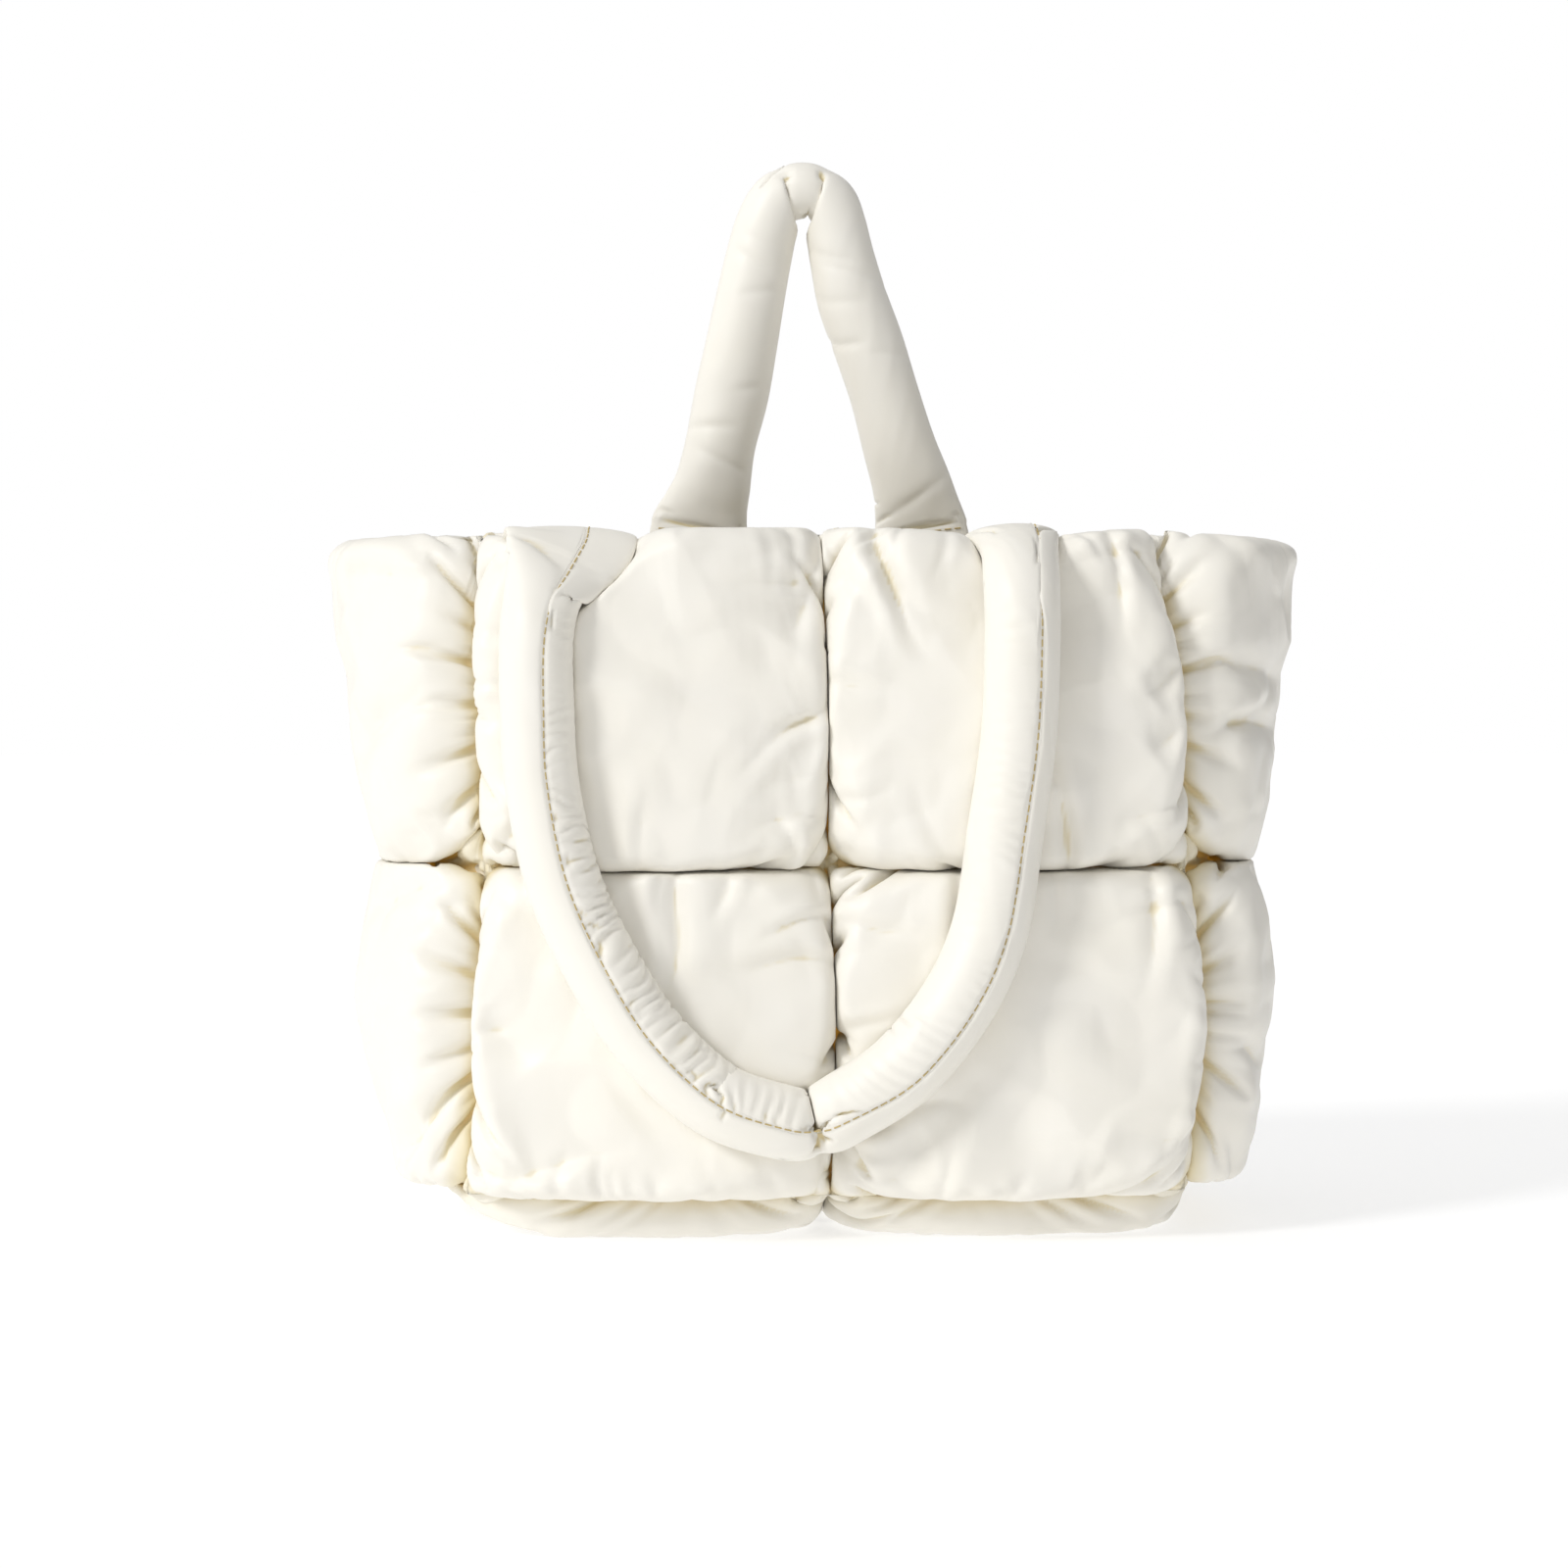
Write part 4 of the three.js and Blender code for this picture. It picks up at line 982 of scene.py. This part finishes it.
def blow_tube(frames, seam_turn, tucks, gathered, creases, seed):
    """Simulates a stuffed tube. Its cloth is as long inside a bend as outside, so it wrinkles there.

    seam_turn is the angle of its seam along the tube, gathered how much that seam gathers the cloth.
    Tucks, where it is folded over, are (run, share, corner, heading): the two arms stay apart at a plane
    through the corner, across the heading. Without these it is the plane across the tube there.
    Creases across it are (run, angle, half angle, slant, depth)."""
    turn = seam_turn[:, None] + 2 * math.pi * np.arange(AROUND) / AROUND
    grid = (
        frames["middle"][:, None]
        + frames["sideways"][:, None] * (frames["wide"][:, None] * np.cos(turn))[..., None]
        + frames["out"][:, None] * (frames["deep"][:, None] * np.sin(turn))[..., None]
    )
    rows = len(grid)
    run = frames["run"]
    size = np.ones(grid.shape[:2])
    for place, share, *_ in tucks:
        size -= share * np.exp(-np.abs(run - place) / 3.0)[:, None]
    # Ribs between the seam and the inner edge, where the seam gathers the cloth.
    off = np.angle(np.exp(1j * (turn - seam_turn[:, None])))
    wander = run[:, None] + 2.5 * soft_noise(size.shape, (rows / 7, 5), seed + 2) + 1.5 * off
    ribs = (0.5 + 0.5 * np.cos(2 * math.pi * wander / RIB_SPACING)) ** 1.5
    uneven = np.clip(1 + 0.5 * soft_noise(size.shape, (rows / 9, 3), seed + 3), 0, 2)
    window = np.clip(off / 0.12, 0, 1) * np.exp(-(np.maximum(off, 0) / 1.25) ** 3)
    size -= gathered[:, None] * RIB_DEPTH / TUBE_RADIUS * ribs * window * uneven
    for place, middle_turn, half_turn, slant, deep in creases:
        off = np.angle(np.exp(1j * (turn - math.radians(middle_turn))))
        away = (run[:, None] - place - slant * off * TUBE_RADIUS) / 2.2
        ends = np.exp(-(off / math.radians(half_turn)) ** 4)
        size -= deep / TUBE_RADIUS * np.exp(-np.abs(away) ** 1.5) * ends
    lengths = np.linalg.norm(np.diff(grid, axis=0), axis=-1)
    longest = lengths.max(1, keepdims=True)
    full = np.clip((2 * frames["deep"] - SEWN_FLAT) / (STUFFED - SEWN_FLAT), 0, 1)[:, None]
    slack = (full[1:] + full[:-1]) / 2 * (0.3 + 0.7 * gathered[1:, None])
    up = lengths + (longest - lengths) * slack
    up[:, 0] = lengths[:, 0]
    up *= 1.01 + (0.015 + 0.025 * gathered[1:, None]) * soft_noise(up.shape, (rows / 4, AROUND / 7), seed)
    own_round = np.linalg.norm(np.roll(grid, -1, 1) - grid, axis=-1)
    across = own_round + (TUBE_ROUND / AROUND - own_round) * full
    across = across * (1 + UNEVEN * soft_noise(grid.shape[:2], (rows / 4, 9), seed + 1))
    free = np.clip((2 * frames["deep"] - LOOSE) / 10, 0, 1)[:, None] * np.ones(AROUND)
    free[:, 0] = 0
    grid[:, 0] -= 0.05 * (grid[:, 0] - frames["middle"])
    planes = []
    for place, _, corner, heading in tucks:
        index = int(np.argmin(np.abs(run - place)))
        corner = frames["middle"][index] if corner is None else np.array(corner)
        heading = frames["ahead"][index] if heading is None else unit(np.array(heading))
        planes.append(((run < place) & (run > place - TUCK_REACH), corner, -heading))
        planes.append(((run > place) & (run < place + TUCK_REACH), corner, heading))

    sideways, out = frames["sideways"][:, None], frames["out"][:, None]

    def room(cloth):
        # Back towards the ellipse that the tube is laid out with, and out of the other arm.
        arm = cloth - frames["middle"][:, None]
        wide = np.einsum("...k,...k->...", arm, sideways + 0 * arm)
        deep = np.einsum("...k,...k->...", arm, out + 0 * arm)
        reach = np.hypot(wide / frames["wide"][:, None], deep / frames["deep"][:, None]) / size / 1.02
        back = (1 - 1 / np.maximum(reach, 1)) * free * 0.6
        cloth -= back[..., None] * (wide[..., None] * sideways + deep[..., None] * out)
        for near, corner, heading in planes:
            inside = np.einsum("...k,k->...", cloth[near] - corner, heading) - CLOTH_GAP
            cloth[near] -= (np.minimum(inside, 0) * free[near])[..., None] * heading

    return settle(grid, across, up, free, room, TUBE_STEPS, TUBE_PRESSURE, stiff=0.04, closed=True)


def tube_piece(name, rings, looks):
    """Closes a tube at both ends and makes the piece."""
    rows, cols = rings.shape[:2]
    index = np.arange(rows * cols).reshape(rows, cols)
    beside = np.roll(index, -1, 1)
    sides = np.stack([index[:-1], beside[:-1], beside[1:], index[1:]], -1).reshape(-1, 4)
    faces = [sides, index[:1, ::-1], index[-1:]]
    run = np.pad(np.cumsum(np.linalg.norm(np.diff(rings, axis=0), axis=-1), 0), ((1, 0), (0, 0)))
    around = np.cumsum(np.linalg.norm(np.roll(rings, -1, 1) - rings, axis=-1), 1)
    place = np.stack([around, run], -1).reshape(-1, 2)
    # Painted shade and painted bounce glow in the tube's creases, from how deep each point lies in one.
    crease = np.clip((-crease_of(rings, 3, closed=True) - 0.5) / 2.5, 0, 0.42).ravel()
    return make_piece(name, rings.reshape(-1, 3), faces, True, looks, place, crease)


standing_line = tube_frames(STANDING, lambda middle: np.array([0, 1.0, 0]) + 0 * middle, TUBE_CELL)
# The angle of the hanging handle's seam: station, degrees.
SEAM_TURNS = ((0, 106), (5, 106), (9, 96), (12, 88), (14, 83), (16, 66), (23, 61), (26, 61))
hanging_turn = np.radians(np.interp(hanging_line["place"], *zip(*SEAM_TURNS)))
standing_turn = np.full(len(standing_line["run"]), math.radians(90))


def run_at(line, place):
    return float(np.interp(place, line["place"], line["run"]))


# How much the hanging handle's seam gathers its cloth: station, share of the full gathers.
GATHERS = (
    (0, 0), (5, 0), (6, 0.35), (8, 0.5), (10, 1), (13, 1),
    (14, 0.7), (15, 0.3), (18, 0.3), (23, 0.1), (26, 0),
)
hanging_gathers = np.interp(hanging_line["place"], *zip(*GATHERS))
standing_gathers = np.zeros(len(standing_turn))
HANGING_TUCKS = ((run_at(hanging_line, 14.1), 0.2, None, None),)
STANDING_TUCKS = (
    (run_at(standing_line, 13.0), 0.13, (-11.5, 63.9, 496.5), (0.959, 0, 0.285)),
    (run_at(standing_line, 15.0), 0.13, (4.0, 63.9, 497.3), (0.958, 0, -0.286)),
)
# Creases across the standing handle: station, angle, half angle, slant, depth.
STANDING_CREASES = (
    (5.6, 250, 55, 0.25, 0.9), (6.3, 300, 50, -0.2, 0.8), (7.2, 235, 35, -0.3, 0.7),
    (9.1, 250, 40, -0.3, 0.9), (9.7, 285, 40, 0.3, 1.0), (10.2, 270, 45, 0.15, 0.5),
    (18.0, 250, 50, 0.4, 0.9), (18.5, 285, 60, 0.5, 1.0), (19.0, 240, 45, 0.3, 0.7),
    (19.8, 210, 50, 0.25, 1.0), (20.3, 300, 40, 0.3, 0.6), (23.3, 290, 50, -0.3, 0.8),
    (23.8, 240, 50, -0.4, 1.0),
)
standing_creases = [(run_at(standing_line, station), *crease) for station, *crease in STANDING_CREASES]

handle_rings = {}
for name, line, turn, tucks, gathered, creases in (
    ("long_handle", hanging_line, hanging_turn, HANGING_TUCKS, hanging_gathers, ()),
    ("short_handle", standing_line, standing_turn, STANDING_TUCKS, standing_gathers, standing_creases),
):
    handle_rings[name] = blow_tube(line, turn, tucks, gathered, creases, 21)
    handle = tube_piece(name + "_tube", handle_rings[name], nylon)
    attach(handle, "root")
    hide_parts(name)

# The long handle's seam is topstitched in pale ochre thread, and a row of the same stitches crosses each
# foot of the short handle just over the rim. A stitch is 3.2 mm long, with 1.5 mm between two.
STITCH_LENGTH, STITCH_GAP, THREAD, STITCH_LIFT = 3.2, 1.5, 0.7, 0.3
# Two-ply polyester sewing thread, dull, with its twist as a bump of 1 mm, which is coarser than real.
thread_looks, tree = material_tree("polyester_thread")
twist = add_node(tree, "ShaderNodeTexNoise", Scale=900.0)
strands = add_node(tree, "ShaderNodeBump", Strength=0.3, Distance=0.0003, Height=twist.outputs["Fac"])
shader = add_node(
    tree, "ShaderNodeBsdfPrincipled", Base_Color=linear("#c3ad74"), Roughness=0.55, Normal=strands.outputs[0]
)
add_node(tree, "ShaderNodeOutputMaterial", Surface=shader.outputs[0])

sewing = bpy.data.node_groups.new("running_stitch", "GeometryNodeTree")
sewing.is_modifier = True
sewing.interface.new_socket("Geometry", in_out="INPUT", socket_type="NodeSocketGeometry")
pitch = sewing.interface.new_socket("Stitch Pitch", in_out="INPUT", socket_type="NodeSocketFloat")
length = sewing.interface.new_socket("Stitch Length", in_out="INPUT", socket_type="NodeSocketFloat")
thickness = sewing.interface.new_socket("Thread Radius", in_out="INPUT", socket_type="NodeSocketFloat")
sewing.interface.new_socket("Geometry", in_out="OUTPUT", socket_type="NodeSocketGeometry")
given = add_node(sewing, "NodeGroupInput")
line = add_node(sewing, "GeometryNodeMeshToCurve", Mesh=given.outputs["Geometry"])
places = add_node(
    sewing, "GeometryNodeResampleCurve", {"mode": "LENGTH"},
    Curve=line.outputs[0], Length=given.outputs["Stitch Pitch"],
)
tangent = add_node(sewing, "GeometryNodeInputTangent")
turned = add_node(sewing, "FunctionNodeAlignRotationToVector", {"axis": "Z"}, Vector=tangent.outputs[0])
one_stitch = add_node(
    sewing, "GeometryNodeMeshCylinder",
    Vertices=6, Radius=given.outputs["Thread Radius"], Depth=given.outputs["Stitch Length"],
)
row = add_node(
    sewing, "GeometryNodeInstanceOnPoints",
    Points=places.outputs[0], Instance=one_stitch.outputs["Mesh"], Rotation=turned.outputs[0],
)
real = add_node(sewing, "GeometryNodeRealizeInstances", Geometry=row.outputs[0])
sewn = add_node(sewing, "GeometryNodeSetMaterial", Geometry=real.outputs[0], Material=thread_looks)
add_node(sewing, "NodeGroupOutput", Geometry=sewn.outputs[0])


def sew(name, path):
    """A row of stitches along a path, as a plain mesh."""
    guide_mesh = bpy.data.meshes.new(name)
    steps = [(k, k + 1) for k in range(len(path) - 1)]
    guide_mesh.from_pydata(((path + SEAM_ORIGIN) * MM).tolist(), steps, [])
    guide = bpy.data.objects.new(name + "_guide", guide_mesh)
    bpy.context.collection.objects.link(guide)
    modifier = guide.modifiers.new("sewing", "NODES")
    modifier.node_group = sewing
    modifier[pitch.identifier] = (STITCH_LENGTH + STITCH_GAP) * MM
    modifier[length.identifier] = STITCH_LENGTH * MM
    modifier[thickness.identifier] = THREAD / 2 * MM
    bpy.context.view_layer.update()
    made = bpy.data.meshes.new_from_object(guide.evaluated_get(bpy.context.evaluated_depsgraph_get()))
    bpy.data.objects.remove(guide)
    stitches = bpy.data.objects.new(name, made)
    bpy.context.collection.objects.link(stitches)
    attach(stitches, "root")


long_rings = handle_rings["long_handle"]
stitch_path = long_rings[:, 0] + STITCH_LIFT * unit(long_rings[:, 0] - hanging_line["middle"])
sew("long_handle_stitches", stitch_path[12:-12])
FOOT_STATIONS = (2.8, 25.2)
FOOT_FRONT = slice(23, 42)  # the part of a ring that faces the front
for name, station in zip(("left_foot_stitches", "right_foot_stitches"), FOOT_STATIONS):
    nearest = int(np.argmin(np.abs(standing_line["run"] - run_at(standing_line, station))))
    sew(name, handle_rings["short_handle"][nearest, FOOT_FRONT] + np.array([0, -STITCH_LIFT, 0]))
